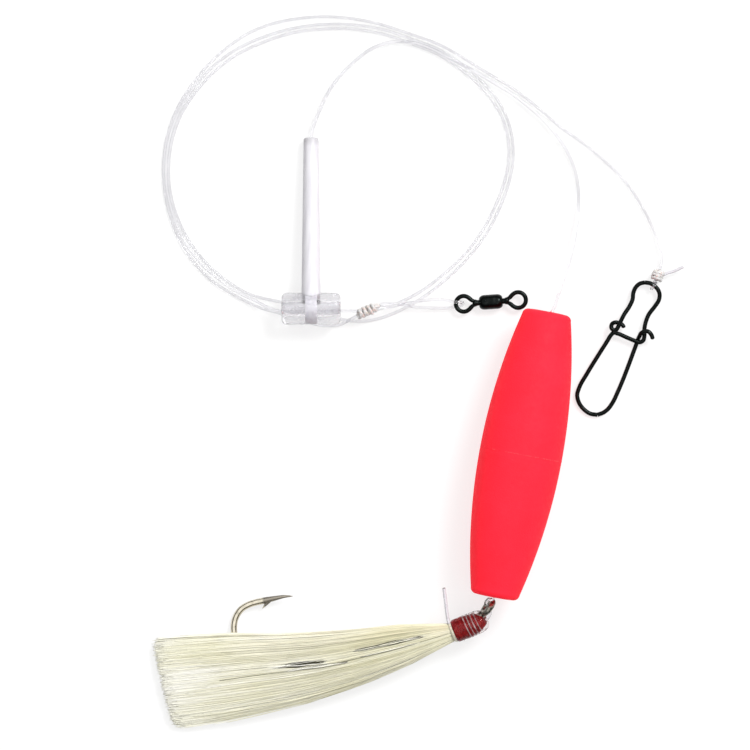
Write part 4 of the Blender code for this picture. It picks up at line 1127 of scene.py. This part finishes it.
def build_hair(finish):
    """The dressing: thousands of separate hairs that fan out from the head, part in places and fray."""
    dice = np.random.default_rng(41)
    points = 14
    steps = np.append(np.linspace(0.0, 0.93, points - 3), (0.96, 0.985, 1.0))
    strands = 2400
    stray_share, trimmed_share, dark_share = 0.06, 0.8, 0.003
    for layer, (deepest, radius) in enumerate(((0.1, 0.12), (0.4, 0.105), (0.6, 0.09), (0.7, 0.075))):
        around = dice.uniform(0, 2 * np.pi, strands)
        edge = dice.uniform(0.86, 1.03, strands)
        reach = np.sqrt(dice.uniform(deepest, 1.0, strands)) * edge
        u, v = reach * np.cos(around), reach * np.sin(around)
        u_end = u + dice.normal(0, 0.08, strands)
        v_end = v + dice.normal(0, 0.16, strands)
        size = np.hypot(u_end, v_end)
        limit = edge + np.where(dice.random(strands) < stray_share, 0.07, 0.02)
        shrink = np.where(size > limit, limit / size, 1.0)
        u_end, v_end = u_end * shrink, v_end * shrink
        trimmed = dice.random(strands) < trimmed_share
        cut = np.where(trimmed, 1.0 - 0.05 * dice.random(strands) ** 1.3, dice.uniform(0.75, 1.0, strands))
        buried = np.sqrt(np.clip(1 - u_end**2, 0.0, 1.0)) - v_end
        cut *= 1.0 - 0.015 * np.abs(u_end) ** 8 - 0.035 * buried
        share = cut[:, None] * steps
        blend = share**1.2
        u_now = u[:, None] + (u_end - u)[:, None] * blend
        v_now = v[:, None] + (v_end - v)[:, None] * blend
        u_now = u_now + clumps(u_now, v_now, share, 0.012)
        middle, half, thick = hair_stations_at(share)
        paths = middle + half * (0.97 * u_now)[..., None]
        paths[..., 2] += thick * v_now * 0.95
        sway = dice.uniform(0, 2 * np.pi, strands)[:, None] + share * dice.uniform(3, 9, strands)[:, None]
        wave = dice.uniform(0.02, 0.34, strands)[:, None] * np.sin(sway) * share
        paths[..., 1] += wave
        paths[..., 2] += wave * 0.3
        paths[..., 2] = np.maximum(paths[..., 2], 0.2)
        tone = (0.50 + 0.08 * np.sin(u * 7 + 1.3) + 0.05 * np.sin(u * 19 + v * 5))[:, None]
        strand_tone = np.clip(dice.normal(0.0, 0.13, strands), -0.3, 0.35)[:, None]
        # Hairs are painted lighter towards their tips: painted light in place of the light that comes through
        # the thin, sparse ends.
        shades = np.clip(tone + strand_tone * (1 - 0.6 * share) + 0.5 * share**2, 0.0, 1.0)
        shades = np.where(dice.random(strands)[:, None] < dark_share, 0.1, shades)
        widths = radius * dice.uniform(0.75, 1.2, strands)[:, None] * np.ones(points)
        widths *= np.where(steps < 1.0, 1.0, 0.4) * (0.62 + 0.38 * np.minimum(share * 5, 1.0))
        piece = tubes(f"bucktail_hair_{layer + 1}", paths, widths, shades, finish)
        if layer == 0:
            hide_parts("bucktail")
    build_parting_shade_hairs(finish)


def hair_top(plan):
    """The height of the dressing's upper surface at points of its plan."""
    spine_start = (np.array(HAIR_STATIONS[0][0]) + HAIR_STATIONS[0][1]) / 2
    spine_end = (np.array(HAIR_STATIONS[-1][0]) + HAIR_STATIONS[-1][1]) / 2
    spine = spine_end - spine_start
    middle, half, thick = hair_stations_at((plan - spine_start) @ spine / (spine @ spine))
    across = np.sum((plan - middle[:, :2]) * half[:, :2], axis=1) / np.sum(half[:, :2] ** 2, axis=1)
    return middle[:, 2] + thick * np.sqrt(np.clip(1 - across**2, 0.0, 1.0))


def build_parting_shade_hairs(finish):
    """Near-black strands in long thin lenses on the dressing, painted shade for its partings, crossed by a few
    stiff white hairs.
    """
    dice = np.random.default_rng(9)
    points = 16
    steps = np.linspace(0.0, 1.0, points)
    bulge = np.sqrt(np.clip(4 * steps * (1 - steps), 0.0, 1.0))
    paths, radii, shades = [], [], []
    for start, end, width in HAIR_PARTING_SHADE:
        start, end = np.array(start), np.array(end)
        reach = np.linalg.norm(end - start)
        normal = np.array([-(end - start)[1], (end - start)[0]]) / reach
        shade_count = int(8 + width * 40)
        for k in range(shade_count + 4):
            pale = k >= shade_count
            low, high = dice.uniform(0.0, 0.12), dice.uniform(0.86, 1.0)
            lane = dice.uniform(-1.0, 1.0)
            tilt = dice.uniform(-2.2, 2.2) if pale else 0.0
            share = low + (high - low) * steps
            lens = np.sqrt(np.clip(4 * share * (1 - share), 0.0, 1.0))
            lens *= 0.7 + 0.5 * np.sin(7 * share + 1.0) ** 2
            drift = width * (lane * lens + tilt * (steps - 0.5))
            plan = start + (end - start) * share[:, None] + normal * drift[:, None]
            rise = hair_top(plan) + (0.36 if pale else dice.uniform(0.02, 0.16)) - 0.5 * (1 - bulge)
            paths.append(np.column_stack([plan, rise]))
            radii.append((0.075 if pale else 0.12) * (0.35 + 0.65 * bulge))
            shades.append(np.full(points, 0.97 if pale else dice.uniform(0.0, 0.06)))
    tubes("bucktail_parting_shade_hairs", np.array(paths), np.array(radii), np.array(shades), finish)


def thread_radius(along):
    """How thick the thread winding is, from the collar at 0 to the front."""
    stations = [(0.0, 2.4), (0.5, 2.8), (2.4, 2.85), (3.2, 2.5), (6.2, 2.25), (7.4, 1.7), (8.4, 1.1)]
    for (a, near), (b, far) in zip(stations, stations[1:]):
        if along <= b:
            return near + (far - near) * (along - a) / (b - a)
    return stations[-1][1]


def build_head(thread, wraps, clear, cut, pale, cement):
    """The head: wound thread, the snell's wraps over it, and the varnish that covers both."""
    axis = (HEAD_END - HEAD_START).normalized()
    side, other = square_to(axis)
    start = HEAD_START + axis * 0.3

    pitch, step, length = 0.17, 0.04, 8.4
    bm = bmesh.new()
    profile = [(0.0, 0.0)]
    profile += [(thread_radius(step * k), step * k) for k in range(211)]
    profile.append((0.0, length))

    def winding(angle, along):
        turn = (along / pitch + angle / (2 * math.pi)) % 1.0
        groove = abs(2 * turn - 1)
        return 1 - 0.024 * groove**2 + 0.03 * round_noise(angle, 1.2, along * 0.9)

    turned_into(bm, profile, 72, start, axis, winding)
    dice = random.Random(7)
    for _ in range(14):
        angle, along = dice.uniform(0, 6.28), dice.uniform(0.2, 3.4)
        loop = []
        for k in range(13):
            share = k / 12
            turn = angle + 0.9 * (share - 0.5)
            reach = thread_radius(along) + 0.02 + 0.2 * math.sin(math.pi * share)
            loop.append(start + axis * (along + 0.4 * share) + spoke(side, other, turn) * reach)
        sweep_into(bm, loop, [0.1] * 13, 8)
    piece_from("head_thread_winding", bm, thread, "hook", ["head_thread"])

    collar = [(1.0, -0.75), (2.15, -0.7), (2.55, -0.5), (2.72, -0.2), (2.7, 0.1), (2.4, 0.2), (1.0, 0.2)]

    def butts(angle, along):
        return 1 + 0.05 * round_noise(angle, 4, along)

    bm = bmesh.new()
    turned_into(bm, collar, 96, start, axis, butts, closed=True)
    piece_from("head_collar", bm, pale, "hook")

    # A thin pale coil over the thread, painted as the highlights along the clear snell turns.
    turns, rise, first = 4.6, 1.0, 3.0
    coil = []
    steps = 200
    for k in range(steps + 1):
        turn = turns * k / steps
        along = first + rise * turn
        reach = thread_radius(along) + 0.1
        coil.append(start + axis * along + spoke(side, other, 2 * math.pi * turn) * reach)
    bm = bmesh.new()
    sweep_into(bm, coil, rounded_radii(coil, WRAP_CREST / 2), 16)
    piece_from("snell_wrap_turns", bm, wraps, "hook", ["snell_wraps"])

    coat = [(0.0, 0.22), (2.3, 0.22), (2.9, 0.3), (3.02, 0.6), (3.06, 1.6), (3.05, 2.4), (3.12, 3.2)]
    coat += [(3.16, 4.0), (3.12, 5.2), (3.08, 6.4), (2.95, 7.5), (2.7, 8.3), (2.3, 8.9), (1.75, 9.3)]
    coat += [(1.0, 9.5), (0.0, 9.55)]

    def lumps(angle, along):
        sag = 0.03 * math.sin(angle) * min(along / 6, 1.0)
        ridges = 0.012 * math.sin(2 * math.pi * (along - first) / rise + angle) * (1 if 3 < along < 7.6 else 0)
        return 1 + 0.035 * round_noise(angle, 1.3, along * 0.35) + sag + ridges

    bm = bmesh.new()
    turned_into(bm, subdivided(coat, 6), 96, start, axis, lumps)
    piece_from("head_cement_coat", bm, cement, "hook", ["head_cement"])

    snell = [eye_point(*offsets) for offsets in SNELL_ROUTE]
    line_piece("snell_line_end", smooth_route(snell, 40), BRANCH_DIAMETER, clear, "hook", ["snell_line"])
    tag = [(11.0, -48.9, 6.9), (10.72, -47.7, 7.0), (10.2, -43.8, 7.3), (9.7, -39.7, 7.5)]
    line_piece("snell_tag_end", smooth_route(tag, 40), BRANCH_DIAMETER, cut, "hook", ["snell_tag"])
    bm = bmesh.new()
    tip = vectors([(9.71, -39.8, 7.5), (9.69, -39.68, 7.5), (9.67, -39.55, 7.5), (9.65, -39.46, 7.5)])
    sweep_into(bm, tip, [0.2, 0.4, 0.38, 0.2], 20)
    piece_from("snell_tag_cut", bm, burnt_finish(), "hook")


def subdivided(profile, parts):
    """A profile with more points, on a smooth curve through its own."""
    route = [Vector((radius, along, 0.0)) for radius, along in profile]
    fine = smooth_route(route, (len(profile) - 1) * parts + 1)
    fine[0].x = fine[-1].x = 0.0
    return [(max(point.x, 0.0), point.y) for point in fine]


def build():
    clear = line_finish()
    knotted = knot_finish()
    cut = cut_line_finish()
    black = black_finish()
    build_camera_and_light()
    build_studio()
    build_cords(clear, knotted, cut)
    build_table(table_finish())
    build_float(foam_finish())
    # The hub's plastic is the stem's, painted lighter because it sits inside the clear cross tube.
    build_tee(tee_finish(), stem_finish(), stem_finish("tee_hub_plastic_painted_lighter", 1.35))
    build_swivel(black)
    build_snap(black)
    build_hook(hook_finish())
    build_hair(hair_finish())
    build_head(thread_finish(), wrap_highlight_finish(), clear, cut, collar_finish(), cement_finish())


build()
